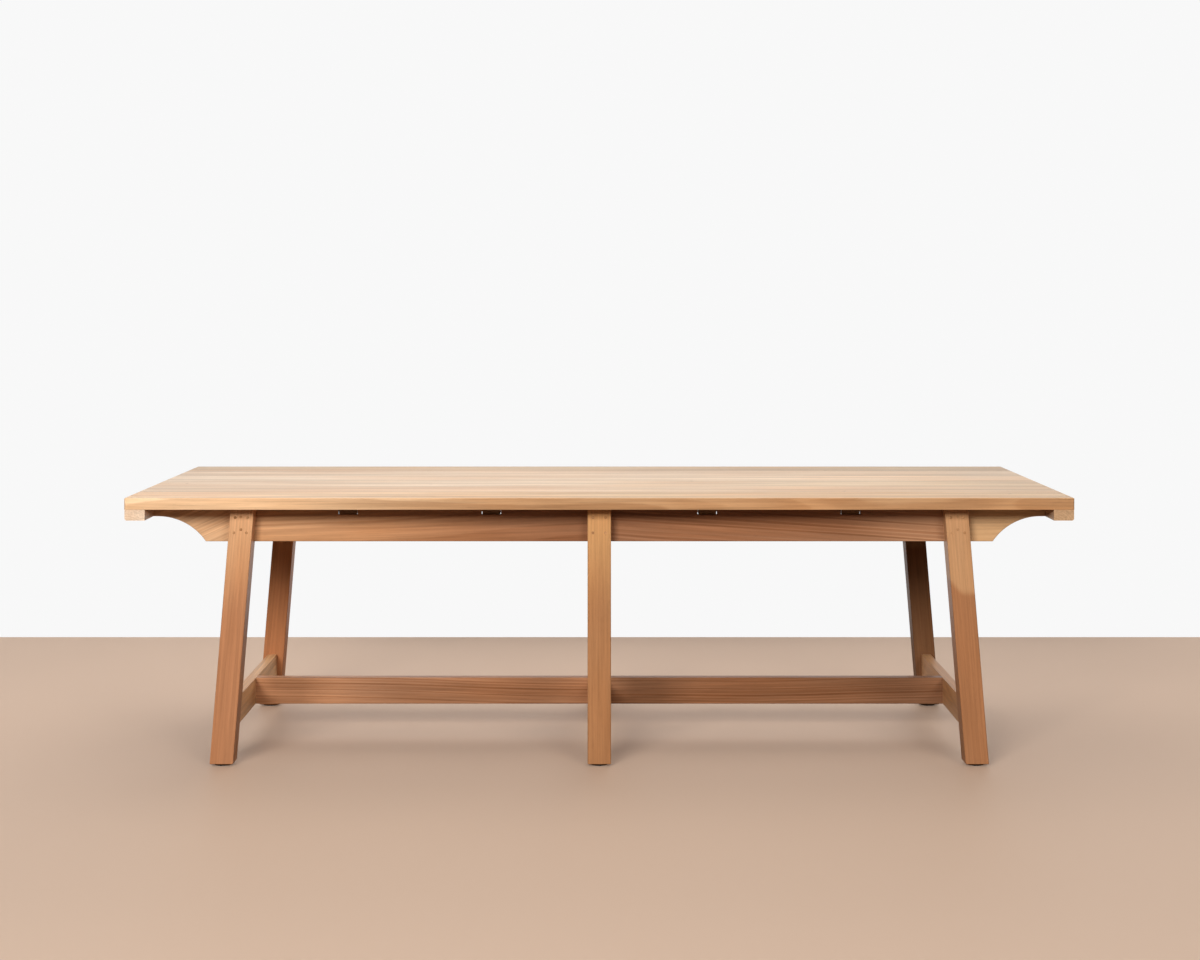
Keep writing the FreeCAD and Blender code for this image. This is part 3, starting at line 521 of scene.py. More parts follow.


# %% [markdown]
# ## The top
#
# Six boards lie edge to edge, each a solid with rings and tones of its own. They were sawn so that the
# rings run nearly straight up, which gives long parallel lines on top and slow arches along the front
# edge. The front board is palest at its left end and darkens to the right, more so along its edge: partly
# its wood, and partly painted light from the lamp on the left. The seams could be drawn as lines, but
# darker edges on the other boards show them, as painted shade in the seams.

# %% Dress the boards
BOARDS = [
    ((0.745, 0.505, 0.303), (0.595, 0.38, 0.196), (0.15, -0.02)),
    ((0.645, 0.455, 0.293), (0.62, 0.42, 0.246), (-0.17, 0.02)),
    ((0.67, 0.502, 0.345), (0.65, 0.465, 0.278), (0.16, 0.03)),
    ((0.68, 0.515, 0.36), (0.68, 0.488, 0.31), (-0.15, -0.03)),
    ((0.64, 0.475, 0.325), (0.62, 0.445, 0.285), (0.18, 0.01)),
    ((0.52, 0.36, 0.215), (0.48, 0.325, 0.18), (-0.16, -0.02)),
]
# The front board's fall from its pale left end, strongest on its front edge, is partly painted light from the
# left lamp.
FRONT_EDGE_TONES_WITH_PAINTED_LIGHT = ((0.82, 0.56, 0.34), (0.472, 0.266, 0.132))
FRONT_BOARD = {"side_tones": FRONT_EDGE_TONES_WITH_PAINTED_LIGHT, "change": (-0.56, 1.0), "rings": 0.55, "bands": 0.65}
# Darker edges on the other boards are painted shade in the seams.
OTHER_BOARD = {"edge": (0.002, 0.9, 0.5), "change": (0.3, 1.6), "rings": 0.85, "bands": 0.52}
for count, (left_tone, right_tone, pith) in enumerate(BOARDS, 1):
    own = FRONT_BOARD if count == 1 else OTHER_BOARD
    dress(f"top_board_{count}", "length", left_tone, right_tone, pith=pith, ring=0.007, side_bands=0.35,
          sheen=0.5, **own)
dress("board_splines", "length", (0.55, 0.36, 0.22))
print(f"{len(BOARDS)} boards and splines dressed")

# %% [markdown]
# ## The battens
#
# The end battens run across the boards, so the front shows their end grain: pale, mottled and full of
# pores, the right one darker, partly its wood and partly painted shade where the light from the left
# falls off. The cross battens' ends sit in the notches of the aprons, under the top, and their dark end
# tint is painted shade in those recesses. No end needs a material of its own: once the grain is turned
# across the table, the solid pattern shows end grain by itself.

# %% Dress the battens
# The right batten's darker tone is partly painted shade where the light from the left falls off.
END_BATTEN_TONES = {"left": (0.72, 0.555, 0.42), "right": (0.48, 0.298, 0.169)}
CROSS_BATTENS = [f"cross_batten_{count}" for count in range(1, 5)]
for side, tone in END_BATTEN_TONES.items():
    dress(f"end_batten_{side}", "width", tone, pith=(0.03, -0.05), ring=0.006, rings=0.35, bands=0.12,
          end_tint=(1.0, 1.0, 0.98))
# The cross battens' dark end tint is painted shade in the apron notches.
for name in CROSS_BATTENS:
    dress(name, "width", (0.52, 0.32, 0.18), pith=(0.02, 0.06), ring=0.007, end_tint=(0.45, 0.40, 0.34))
print("battens dressed")

# %% [markdown]
# ## The aprons and corbels
#
# The left apron is warm and calm, palest near the left leg and darker towards the middle: partly its
# wood, and partly painted light from the lamp on the left. The right one is darker, with sloping stripes:
# its summer wood starts early in the year, and its grain is tipped by four degrees. The corbels are
# paler, and the left one's grain runs at a slant. Other tones at the rear would hardly be seen, so the
# rear pieces repeat the front ones with seeds of their own.

# %% Dress the aprons and corbels
# The left apron's fall from pale near the left leg to dark is partly painted light from the left lamp.
for row in ("front", "rear"):
    dress(f"apron_{row}_left", "length", (0.585, 0.328, 0.17), (0.27, 0.124, 0.062), change=(-0.05, 1.0),
          pith=(0.10, -0.10), ring=0.012, rings=0.45, bands=0.25, slope=2)
    dress(f"apron_{row}_right", "length", (0.307, 0.148, 0.078), (0.42, 0.221, 0.12), change=(0.36, 0.3),
          pith=(0.03, -0.18), ring=0.0125, rings=0.6, summer_from=0.3, bands=0.12, streaks=0.10, slope=-4)
    dress(f"corbel_{row}_left", "length", (0.585, 0.363, 0.205), pith=(0.05, 0.09), ring=0.009, rings=0.4,
          slope=24)
    dress(f"corbel_{row}_right", "length", (0.58, 0.358, 0.184), pith=(0.12, 0.03), ring=0.008, rings=0.16,
          streaks=0.07)
print("aprons and corbels dressed")

# %% [markdown]
# ## The legs
#
# Each leg is paler at its head and redder below: slowly on the left and in the middle, where the fall
# is partly painted shade as the light weakens towards the floor, and suddenly on the right, where a
# tongue of heartwood ends a third of the way down. A mask could be painted for that border, but a change
# of tone needs only a place and a width. The rear legs are darker and duller, the right one most of
# all: its wood is darker, and part of its darkness is painted shade under the front apron.

# %% Dress the legs
# On the left and middle legs the fall from head to foot is partly painted shade; on the right it is
# heartwood.
LEG_TONES = {
    "left": ((0.42, 0.185, 0.086), (0.63, 0.355, 0.185), (0.23, 0.34)),
    "middle": ((0.378, 0.179, 0.078), (0.53, 0.28, 0.117), (0.22, 0.26)),
    "right": ((0.353, 0.168, 0.08), (0.486, 0.279, 0.144), (0.19, 0.02)),
}
LEG_SHEENS = {"front": 0.2, "rear": 0.06}
REAR_TONE_AND_PAINTED_SHADE = {"left": 0.98, "middle": 0.98, "right": 0.45}


def shaded(tone, shade):
    """A tone times a shade."""
    return tuple(shade * part for part in tone)


# The rear right leg's darkening is partly darker wood, partly painted shade under the front apron.
for row, sheen in LEG_SHEENS.items():
    for side, (tone, head_tone, change) in LEG_TONES.items():
        shade = REAR_TONE_AND_PAINTED_SHADE[side] if row == "rear" else 1
        dress(f"leg_{row}_{side}", "height" if side == "middle" else side, shaded(tone, shade),
              shaded(head_tone, shade), change=change, pith=(0.02, 0.14), ring=0.007, rings=0.09, bands=0.07,
              streaks=0.035, sheen=sheen)
print("legs dressed")

# %% [markdown]
# ## The rails, stretchers and pins
#
# The cross stretchers are pale, the long ones carry dark streaks, and the rails under the top are seen
# only from below. A pin is a short dowel whose end grain shows in the face of a leg. Its seam is a fine
# gap that holds shade, so its edges are darkened with painted shade where those of other pieces are
# lightened.

# %% Dress the rails, stretchers and pins
PALE_STRETCHER = (0.70, 0.41, 0.205)
DARK_STRETCHER = (0.48, 0.265, 0.13)
for side in ("left", "middle", "right"):
    dress(f"top_rail_{side}", "width", (0.48, 0.29, 0.17), pith=(0.02, 0.09))
    tone = DARK_STRETCHER if side == "right" else PALE_STRETCHER
    dress(f"cross_stretcher_{side}", "width", tone, pith=(0.10, 0.02), ring=0.009)
dress("long_stretcher_left", "length", (0.55, 0.266, 0.133), (0.388, 0.197, 0.108), change=(-0.2, 0.4),
      pith=(0.02, 0.14), ring=0.009, rings=0.7, bands=0.25, slope=-1)
dress("long_stretcher_right", "length", (0.292, 0.138, 0.07), (0.249, 0.117, 0.06), pith=(0.03, -0.13),
      ring=0.009, rings=0.7, bands=0.25, slope=1)
# Darker pin edges: painted shade in the gap round each pin.
for name in ("apron_pins", "corbel_pins", "rail_pins"):
    dress(name, "width", (0.50, 0.285, 0.145), pith=(0.02, 0.03), ring=0.004, bands=0.6,
          edge=(0.001, 0.9, 0.42))
print(f"{len(pieces_dressed)} solids in wood")

# %% [markdown]
# ## Steel, brass and plastic
#
# The small parts are zinc-plated steel, turned brass and moulded plastic. One flat colour would look
# like paint: zinc has dull patches, scratches and bright edges, brass has rings from the lathe, and
# plastic the grain of its mould. One function makes them all from a few noises.

# %% A material for small parts
SMALL_EDGE_WIDTH = 0.0006
SMALL_EDGE_FULL = 0.85
SMALL_WEAR_STRETCH = (300, 300, 300)
SMALL_WEAR_RANGE = (0.3, 0.6)
DULL_RANGE = (0.4, 0.65)
DULL_ROUGHNESS = 0.16
LINE_SHADE = 0.5
LINE_ROUGHNESS = 0.2
LINE_STRENGTH = 0.5
BRIGHT_SHARE = 0.7


def small_material(name, tone, dull, bright, roughness, patches, lines, metallic=1.0, relief=0.00003):
    """Metal or plastic with dull patches, fine lines and rubbed edges."""
    material = bpy.data.materials.new(name)
    material.use_nodes = True
    tree = material.node_tree
    shader = tree.nodes["Principled BSDF"].inputs
    place = tree.nodes.new("ShaderNodeTexCoord").outputs["Object"]
    worn = rise(tree, noise(tree, place, SMALL_WEAR_STRETCH), *SMALL_WEAR_RANGE)
    edge = calculate(tree, "MULTIPLY", near_edge(tree, SMALL_EDGE_WIDTH, SMALL_EDGE_FULL), worn)
    patch = rise(tree, noise(tree, place, (patches, patches, patches), 3.0), *DULL_RANGE)
    fine = calculate(tree, "SUBTRACT", noise(tree, place, lines), 0.5)
    shade = calculate(tree, "ADD", calculate(tree, "MULTIPLY", fine, LINE_SHADE), 1.0)
    colour = combine(tree, "SCALE", mix(tree, patch, tone, dull), shade)
    rubbed = calculate(tree, "MULTIPLY", edge, BRIGHT_SHARE)
    feed(tree, shader["Base Color"], mix(tree, rubbed, colour, bright))
    rough = calculate(tree, "ADD", calculate(tree, "MULTIPLY", patch, DULL_ROUGHNESS), roughness)
    rough = calculate(tree, "ADD", rough, calculate(tree, "MULTIPLY", fine, LINE_ROUGHNESS))
    rough = calculate(tree, "SUBTRACT", rough, calculate(tree, "MULTIPLY", edge, EDGE_POLISH))
    feed(tree, shader["Roughness"], rough)
    shader["Metallic"].default_value = metallic
    bump = tree.nodes.new("ShaderNodeBump")
    bump.inputs["Strength"].default_value = LINE_STRENGTH
    bump.inputs["Distance"].default_value = relief
    feed(tree, bump.inputs["Height"], fine)
    feed(tree, shader["Normal"], bump.outputs["Normal"])
    return material


# %% [markdown]
# Each finish has a tone, a duller one for its patches and a brighter one for its edges. Patches and
# lines are in features a metre. Few lines along x and many along y and z make brushed steel, and many
# along z alone make the rings of turned brass.

# %% Finishes of the small parts
FINISHES = {
    "screw_steel": {
        "tone": (0.50, 0.49, 0.46), "dull": (0.33, 0.32, 0.30), "bright": (0.66, 0.65, 0.62),
        "roughness": 0.34, "patches": 150, "lines": (900, 900, 900)},
    "clip_steel": {
        "tone": (0.48, 0.47, 0.44), "dull": (0.32, 0.31, 0.29), "bright": (0.64, 0.63, 0.60),
        "roughness": 0.38, "patches": 90, "lines": (60, 1500, 1500)},
    "stem_steel": {
        "tone": (0.46, 0.46, 0.45), "dull": (0.28, 0.28, 0.27), "bright": (0.68, 0.68, 0.66),
        "roughness": 0.32, "patches": 200, "lines": (900, 900, 2500), "relief": 0.00002},
    "insert_brass": {
        "tone": (0.60, 0.40, 0.15), "dull": (0.40, 0.25, 0.10), "bright": (0.78, 0.56, 0.26),
        "roughness": 0.30, "patches": 160, "lines": (300, 300, 4000)},
    "pad_plastic": {
        "tone": (0.013, 0.012, 0.011), "dull": (0.022, 0.020, 0.018), "bright": (0.055, 0.052, 0.048),
        "roughness": 0.55, "patches": 120, "lines": (1400, 1400, 1400), "metallic": 0.0, "relief": 0.00006},
}
finishes = {name: small_material(name, **finish) for name, finish in FINISHES.items()}
nodes["foot_inserts"].material_slots[0].material = finishes["insert_brass"]
print(f"finishes: {', '.join(finishes)}")

# %% [markdown]
# ## Tools for the small parts
#
# Each small part starts as a primitive and is worked in edit mode. Where a hand would click on faces,
# edges and points, code picks them by where they lie and which way they look. From here on sizes are in
# millimetres, as on a drawing.

# %% Helpers for modelling
MM = 0.001
STEEP = 0.9


def settle():
    """Move the active piece's place, turn and size into its mesh."""
    bpy.ops.object.transform_apply(location=True, rotation=True, scale=True)


def pick(kind, wanted):
    """Select the wanted faces, edges or points of the active piece, in edit mode."""
    piece = bpy.context.object
    bpy.ops.object.mode_set(mode="EDIT")
    bpy.ops.mesh.select_mode(type=kind)
    bpy.ops.mesh.select_all(action="DESELECT")
    bpy.ops.object.mode_set(mode="OBJECT")
    points = piece.data.vertices
    if kind == "FACE":
        for face in piece.data.polygons:
            face.select = wanted(face.center / MM, face.normal)
    elif kind == "EDGE":
        for edge in piece.data.edges:
            edge.select = all(wanted(points[index].co / MM) for index in edge.vertices)
    else:
        for point in points:
            point.select = wanted(point.co / MM)
    bpy.ops.object.mode_set(mode="EDIT")


def looks_up(middle, normal):
    """Whether a face looks up."""
    return normal.z > STEEP


def looks_down(middle, normal):
    """Whether a face looks down."""
    return normal.z < -STEEP


def push(x, y, z, shrink=1.0):
    """Extrude what is selected by so many millimetres, and make its end smaller."""
    bpy.ops.mesh.extrude_region_move(TRANSFORM_OT_translate={"value": (x * MM, y * MM, z * MM)})
    if shrink != 1.0:
        bpy.ops.transform.resize(value=(shrink, shrink, 1))


def leave_edit():
    """Make the faces look outward and go back to object mode."""
    bpy.ops.mesh.select_all(action="SELECT")
    bpy.ops.mesh.normals_make_consistent(inside=False)
    bpy.ops.object.mode_set(mode="OBJECT")


# %% [markdown]
# Screws, clips and feet repeat. Each is modelled once and copied to its places, and the copies for one
# CAD node are joined, so that they stand for it as one piece.

# %% Helpers for finishing and copying
SMOOTH_ANGLE = math.radians(35)


def apply_modifier(piece, kind, **settings):
    """Give the piece a modifier and apply it."""
    modifier = piece.modifiers.new(kind.lower(), kind)
    for name, value in settings.items():
        setattr(modifier, name, value)
    bpy.context.view_layer.objects.active = piece
    bpy.ops.object.modifier_apply(modifier=modifier.name)


def spread(master, name, places, finish):
    """Copy a piece to places of x, y, z in millimetres and a turn in degrees, and join the copies."""
    copies = []
    bpy.ops.object.select_all(action="DESELECT")
    for x, y, z, turn in places:
        copy = bpy.data.objects.new(name, master.data.copy())
        bpy.context.scene.collection.objects.link(copy)
        copy.location = (x * MM, y * MM, z * MM)
        copy.rotation_euler = (0, 0, math.radians(turn))
        copy.select_set(True)
        copies.append(copy)
    bpy.context.view_layer.objects.active = copies[0]
    if len(copies) > 1:
        bpy.ops.object.join()
    joined = bpy.context.object
    settle()
    bpy.ops.object.shade_smooth_by_angle(angle=SMOOTH_ANGLE)
    joined.data.materials.clear()
    joined.data.materials.append(finishes[finish])
    joined.name = name
    return joined


# %% [markdown]
# ## Screws
#
# Wood screws with low domed heads hold the battens to the boards. Their outline could be spun, as on a
# lathe, but not their cross recess. So a low cylinder is drawn in twice to a dome, the shank goes up
# from its seat to a point, and two crossed blades, narrower at the tip as a driver is, cut the recess
# with a Boolean.

# %% Model a screw
SCREW_SIDES = 24
HEAD_RADIUS = 4.5
RIM_HEIGHT = 1.0
DOME_STEPS = ((1.2, 0.9), (1.0, 0.74))
SHANK_RADIUS = 2.25
POINT_HEIGHT = 2.25
POINT_SHARE = 0.06
BLADE_SIZE = (5.0, 1.1, 2.6)
BLADE_HEIGHT = -3.0
BLADE_TIP_SHARES = (0.45, 0.75)


def make_blades():
    """Two crossed blades that cut a screw's recess."""
    bpy.ops.mesh.primitive_cube_add(size=MM, location=(0, 0, BLADE_HEIGHT * MM))
    blades = bpy.context.object
    blades.scale = BLADE_SIZE
    settle()
    pick("FACE", looks_up)
    bpy.ops.transform.resize(value=(*BLADE_TIP_SHARES, 1))
    bpy.ops.mesh.select_all(action="SELECT")
    bpy.ops.mesh.duplicate()
    bpy.ops.transform.rotate(value=math.radians(90), orient_axis="Z", center_override=(0, 0, 0))
    leave_edit()
    return blades


def make_screw(length):
    """A cross-head screw that points up, its origin at the seat of its head."""
    blades = make_blades()
    bpy.ops.mesh.primitive_cylinder_add(vertices=SCREW_SIDES, radius=HEAD_RADIUS * MM, depth=RIM_HEIGHT * MM,
                                        location=(0, 0, -RIM_HEIGHT / 2 * MM))
    screw = bpy.context.object
    settle()
    pick("FACE", looks_down)
    for height, shrink in DOME_STEPS:
        push(0, 0, -height, shrink)
    pick("FACE", looks_up)
    bpy.ops.mesh.inset(thickness=(HEAD_RADIUS - SHANK_RADIUS) * MM)
    push(0, 0, length - POINT_HEIGHT)
    push(0, 0, POINT_HEIGHT, POINT_SHARE)
    leave_edit()
    apply_modifier(screw, "BOOLEAN", operation="DIFFERENCE", object=blades, use_self=True)
    bpy.data.objects.remove(blades)
    return screw


# %% [markdown]
# One screw goes up through the middle of each batten into the middle of each board, its head sunk in
# the batten. Typed places would stay behind if a board changed, so most are read from the solids. Under
# the cross battens the outermost screws move in, clear of the aprons. Driven screws never line up, so
# each is turned on by the same odd angle.

# %% Find the screws' places
HEAD_DEPTH = 6
OUTER_ROW = 352.66
CLIP_COLUMNS = (-828.06, -150.6, 150.6, 828.06)
CLIP_SCREW_ROW = 357.75
CLIP_THICKNESS = 2.5
END_TURN = 37
CROSS_TURN = 53
CLIP_TURN = 29


def corners(node):
    """The lowest and highest corner of a solid, in millimetres."""
    return [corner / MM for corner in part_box(node)]


def middle_of(node):
    """The middle of a solid's box, in millimetres."""
    low, high = corners(node)
    return (low + high) / 2


def under_battens(battens, rows, turn):
    """Places for screws up through battens, in rows on both sides of the middle."""
    places = []
    for batten in battens:
        for y in [-row for row in rows] + rows:
            seat = corners(batten)[0].z + HEAD_DEPTH
            places.append((middle_of(batten).x, y, seat, turn * len(places)))
    return places


board_rows = [middle_of(f"top_board_{count}").y for count in (4, 5, 6)]
end_places = under_battens([f"end_batten_{side}" for side in END_BATTEN_TONES], board_rows, END_TURN)
cross_places = under_battens(CROSS_BATTENS, [*board_rows[:2], OUTER_ROW], CROSS_TURN)
top_of_clips = corners("top_clips")[1].z
clip_places = []
for x in CLIP_COLUMNS:
    for y in (-CLIP_SCREW_ROW, CLIP_SCREW_ROW):
        clip_places.append((x, y, top_of_clips - CLIP_THICKNESS, CLIP_TURN * len(clip_places)))
print(f"screws in rows at {', '.join(f'{row:.1f}' for row in board_rows)} mm")

# %% [markdown]
# Three lengths are needed: through the end battens, through the thinner cross battens, and through the
# clips alone.

# %% Put the screws in
for node, piece_name, length, places in (
        ("end_batten_screws", "crosshead_end_screws", 44, end_places),
        ("cross_batten_screws", "crosshead_batten_screws", 39, cross_places),
        ("clip_screws", "crosshead_clip_screws", 14.5, clip_places)):
    master = make_screw(length)
    screws = spread(master, piece_name, places, "screw_steel")
    bpy.data.objects.remove(master)
    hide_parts(node)
    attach(screws, "table")
    print(f"{piece_name}: {len(places)} screws, {len(screws.data.polygons)} faces")

# %% [markdown]
# ## Clips
#
# Clips hold the top to the aprons and let it swell. Each is a strip of sheet steel with two bends: a
# flange under the top, a drop, and a tongue that sits in the apron. Cut from a block, its bends would
# have to be rounded inside and out. So it is drawn as a thin sheet, its bends are rounded and its free
# corners clipped, and only then the sheet gets its thickness.

# %% Model the clips
CLIP_WIDTH = 22
FLANGE_LENGTH = 16.75
CLIP_DROP = 14
TONGUE_LENGTH = 14.25
BEND_RADIUS = 2.0
CORNER_RADIUS = 2.5
CLIP_ROUNDING = 0.25
NEARBY = 0.1
tongue_end = corners("top_clips")[0].y
bend_line = tongue_end + TONGUE_LENGTH
flange_end = bend_line + FLANGE_LENGTH
bpy.ops.mesh.primitive_plane_add(size=MM, location=(
    0, (bend_line + flange_end) / 2 * MM, (top_of_clips - CLIP_THICKNESS / 2) * MM))
clip = bpy.context.object
clip.scale = (CLIP_WIDTH, FLANGE_LENGTH, 1)
settle()
pick("EDGE", lambda point: point.y < bend_line + NEARBY)
push(0, 0, -CLIP_DROP)
push(0, -TONGUE_LENGTH, 0)
pick("EDGE", lambda point: abs(point.y - bend_line) < NEARBY)
bpy.ops.mesh.bevel(offset=BEND_RADIUS * MM, segments=5)
pick("VERT", lambda point: point.y > flange_end - NEARBY or point.y < tongue_end + NEARBY)
bpy.ops.mesh.bevel(offset=CORNER_RADIUS * MM, segments=4, affect="VERTICES")
leave_edit()
apply_modifier(clip, "SOLIDIFY", thickness=CLIP_THICKNESS * MM, offset=0, use_even_offset=True)
apply_modifier(clip, "BEVEL", width=CLIP_ROUNDING * MM, segments=2, limit_method="ANGLE",
               angle_limit=math.radians(50))
clips = spread(clip, "bent_clips", [(x, 0, 0, turn) for x in CLIP_COLUMNS for turn in (0, 180)], "clip_steel")
bpy.data.objects.remove(clip)
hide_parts("top_clips")
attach(clips, "table")
print(f"bent_clips: {len(clips.data.polygons)} faces")

# %% [markdown]
# ## Levelling feet
#
# A foot is a threaded stem on a moulded pad, screwed into the leg until the table stands level. A bump
# in the material would leave the thread's outline smooth, so a real thread goes round a smooth core.
# The core comes first, with a small cone for a tip.

# %% Model a stem's core
STEM_SIDES = 32
CORE_RADIUS = 3.4
TIP_HEIGHT = 1.0
TIP_SHARE = 0.75
stem_low, stem_high = corners("foot_stem_front_middle")
core_height = stem_high.z - stem_low.z - TIP_HEIGHT
bpy.ops.mesh.primitive_cylinder_add(vertices=STEM_SIDES, radius=CORE_RADIUS * MM, depth=core_height * MM,
                                    location=(0, 0, (stem_low.z + core_height / 2) * MM))
stem = bpy.context.object
settle()
pick("FACE", looks_up)
push(0, 0, TIP_HEIGHT, TIP_SHARE)
leave_edit()
print(f"core {core_height:.1f} mm high")

# %% [markdown]
# The Screw modifier winds an outline up the core, one pitch for each turn. The outline is that of a
# tooth: a small upright plane with its foot in the core and its outer side made narrow. Its face is
# deleted, so that only the outline is wound up, and two caps close the ends.

# %% Wind a thread round the core
PITCH = 1.25
THREAD_TURNS = 26
STEPS_A_TURN = 20
THREAD_RADIUS = 4.0
THREAD_START = 3.6
TOOTH_DEPTH = 0.7
TOOTH_HEIGHT = 1.05
TOOTH_TIP_SHARE = 0.18
WELD = 0.01
tooth_middle = THREAD_RADIUS - TOOTH_DEPTH / 2
bpy.ops.mesh.primitive_plane_add(size=MM, rotation=(math.radians(90), 0, 0),
                                 location=(tooth_middle * MM, 0, THREAD_START * MM))
thread = bpy.context.object
thread.scale = (TOOTH_DEPTH, TOOTH_HEIGHT, 1)
settle()
pick("VERT", lambda point: point.x > tooth_middle)
bpy.ops.transform.resize(value=(1, 1, TOOTH_TIP_SHARE))
bpy.ops.mesh.select_all(action="SELECT")
bpy.ops.mesh.delete(type="ONLY_FACE")
bpy.ops.object.mode_set(mode="OBJECT")
apply_modifier(thread, "SCREW", angle=math.radians(360), screw_offset=PITCH * MM, iterations=THREAD_TURNS,
               steps=STEPS_A_TURN, render_steps=STEPS_A_TURN, axis="Z", use_merge_vertices=False)
bpy.ops.object.mode_set(mode="EDIT")
bpy.ops.mesh.select_all(action="SELECT")
bpy.ops.mesh.remove_doubles(threshold=WELD * MM)
bpy.ops.mesh.fill_holes(sides=4)
leave_edit()
stem.select_set(True)
bpy.context.view_layer.objects.active = stem
bpy.ops.object.join()
print(f"stem: {len(stem.data.polygons)} faces")

# %% [markdown]
# The pad is a thick disc with grips round its rim, a groove on top that leaves a boss round the stem,
# and a shallow hollow under it. The grips could be cut one by one, but a disc with four sides to each
# grip has their faces from the start, and two of each four are pressed in together.

# %% Model a pad
GRIPS = 24
GRIP_MARGIN = 0.9
GRIP_DEPTH = 0.7
PAD_RIM = 2.5
GROOVE_SLOPE = 0.5
GROOVE_WIDTH = 11
GROOVE_DEPTH = 1.2
HOLLOW_DEPTH = 0.9
PAD_ROUNDING = 0.9
pad_low, pad_high = corners("foot_pad_front_middle")
pad_height = pad_high.z - pad_low.z
bpy.ops.mesh.primitive_cylinder_add(vertices=4 * GRIPS, radius=(pad_high.x - pad_low.x) / 2 * MM,
                                    depth=pad_height * MM, location=(0, 0, pad_height / 2 * MM))
pad = bpy.context.object
settle()


def in_grip(middle, normal):
    """Whether a side face is one of the two middle ones of the four to each grip."""
    turn = math.atan2(middle.y, middle.x) / math.tau * 4 * GRIPS
    return abs(normal.z) < STEEP and math.floor(turn) % 4 in (1, 2)


pick("FACE", in_grip)
bpy.ops.mesh.inset(thickness=GRIP_MARGIN * MM)
bpy.ops.transform.shrink_fatten(value=-GRIP_DEPTH * MM)
pick("FACE", looks_up)
bpy.ops.mesh.inset(thickness=PAD_RIM * MM)
bpy.ops.mesh.inset(thickness=GROOVE_SLOPE * MM)
bpy.ops.transform.translate(value=(0, 0, -GROOVE_DEPTH * MM))
bpy.ops.mesh.inset(thickness=GROOVE_WIDTH * MM)
push(0, 0, GROOVE_DEPTH)
pick("FACE", looks_down)
bpy.ops.mesh.inset(thickness=PAD_RIM * MM)
bpy.ops.mesh.inset(thickness=GROOVE_SLOPE * MM)
bpy.ops.transform.translate(value=(0, 0, HOLLOW_DEPTH * MM))
leave_edit()
apply_modifier(pad, "BEVEL", width=PAD_ROUNDING * MM, segments=3, limit_method="ANGLE",
               angle_limit=math.radians(70))
print(f"pad: {len(pad.data.polygons)} faces")

# %% [markdown]
# One joined piece would be simpler, but each foot slides out of its own leg, so each has a stem and a
# pad of its own, screwed in to a turn of its own.

# %% Put a stem and a pad at each foot
FOOT_TURNS = {"front_left": 313, "front_middle": 141, "front_right": 47,
              "rear_left": 266, "rear_middle": 94, "rear_right": 0}
for foot, turn in FOOT_TURNS.items():
    foot_middle = middle_of(f"foot_pad_{foot}")
    for master, piece_name, node, slot in (
            (stem, f"threaded_stem_{foot}", f"foot_stem_{foot}", "stem_steel"),
            (pad, f"moulded_pad_{foot}", f"foot_pad_{foot}", "pad_plastic")):
        piece = spread(master, piece_name, [(foot_middle.x, foot_middle.y, 0, turn)], slot)
        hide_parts(node)
        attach(piece, f"foot_{foot}")
bpy.data.objects.remove(stem)
bpy.data.objects.remove(pad)
print(f"{len(FOOT_TURNS)} feet in place")

# %% [markdown]
# ## The floor and the wall
#
# The stage is a pale floor, and a white wall behind the table. From below and from behind they would
# hide it, and leaving them out there would change the light. So the camera sees through their backs:
# Light Path tells its rays from the others, and only they go through.

# %% Helpers for the stage
def choose(tree, share, first, second):
    """One of two shaders, or a mix of them."""
    node = tree.nodes.new("ShaderNodeMixShader")
    feed(tree, node.inputs[0], share)
    feed(tree, node.inputs[1], first)
    feed(tree, node.inputs[2], second)
    return node.outputs[0]


def finish_stage(tree, ray, surface):
    """Give a stage material its surface, whose back only the camera sees through."""
    backfacing = tree.nodes.new("ShaderNodeNewGeometry").outputs["Backfacing"]
    behind = calculate(tree, "MULTIPLY", backfacing, ray["Is Camera Ray"])
    clear = tree.nodes.new("ShaderNodeBsdfTransparent").outputs[0]
    feed(tree, tree.nodes["Material Output"].inputs["Surface"], choose(tree, behind, surface, clear))


def plain_material(name, roughness):
    """A plain matt material for the stage, with its shader and its Light Path."""
    material = bpy.data.materials.new(name)
    material.use_nodes = True
    shader = material.node_tree.nodes["Principled BSDF"]
    shader.inputs["Roughness"].default_value = roughness
    return material, shader, material.node_tree.nodes.new("ShaderNodeLightPath").outputs


# %% [markdown]
# A floor as pale as it looks would light the underside too much, so light bounces off a darker one than
# the camera sees. A little glow, again for the camera only, keeps the floor pale far from the lamps.

# %% Lay the floor
FLOOR_SIZE = 40
FLOOR_SEEN = (0.44, 0.312, 0.225)
FLOOR_BOUNCE = (0.23, 0.155, 0.11)
FLOOR_GLOW = (0.12, 0.087, 0.067)
bpy.ops.mesh.primitive_plane_add(size=FLOOR_SIZE, location=(0, 0, 0))
floor = bpy.context.object
floor.name = "floor"
floor_finish, shader, ray = plain_material("floor_finish", roughness=0.6)
floor.data.materials.append(floor_finish)
tree = floor_finish.node_tree
feed(tree, shader.inputs["Base Color"], mix(tree, ray["Is Camera Ray"], FLOOR_BOUNCE, FLOOR_SEEN))
feed(tree, shader.inputs["Emission Color"], FLOOR_GLOW)
feed(tree, shader.inputs["Emission Strength"], ray["Is Camera Ray"])
finish_stage(tree, ray, shader.outputs[0])
print(f"floor {FLOOR_SIZE} m wide")

# %% [markdown]
# To the camera and in reflections the wall is an even white, and to all other rays it is matt paint, so
# its light on the table stays soft. It throws no shadow, so the lamp behind it still reaches the table.

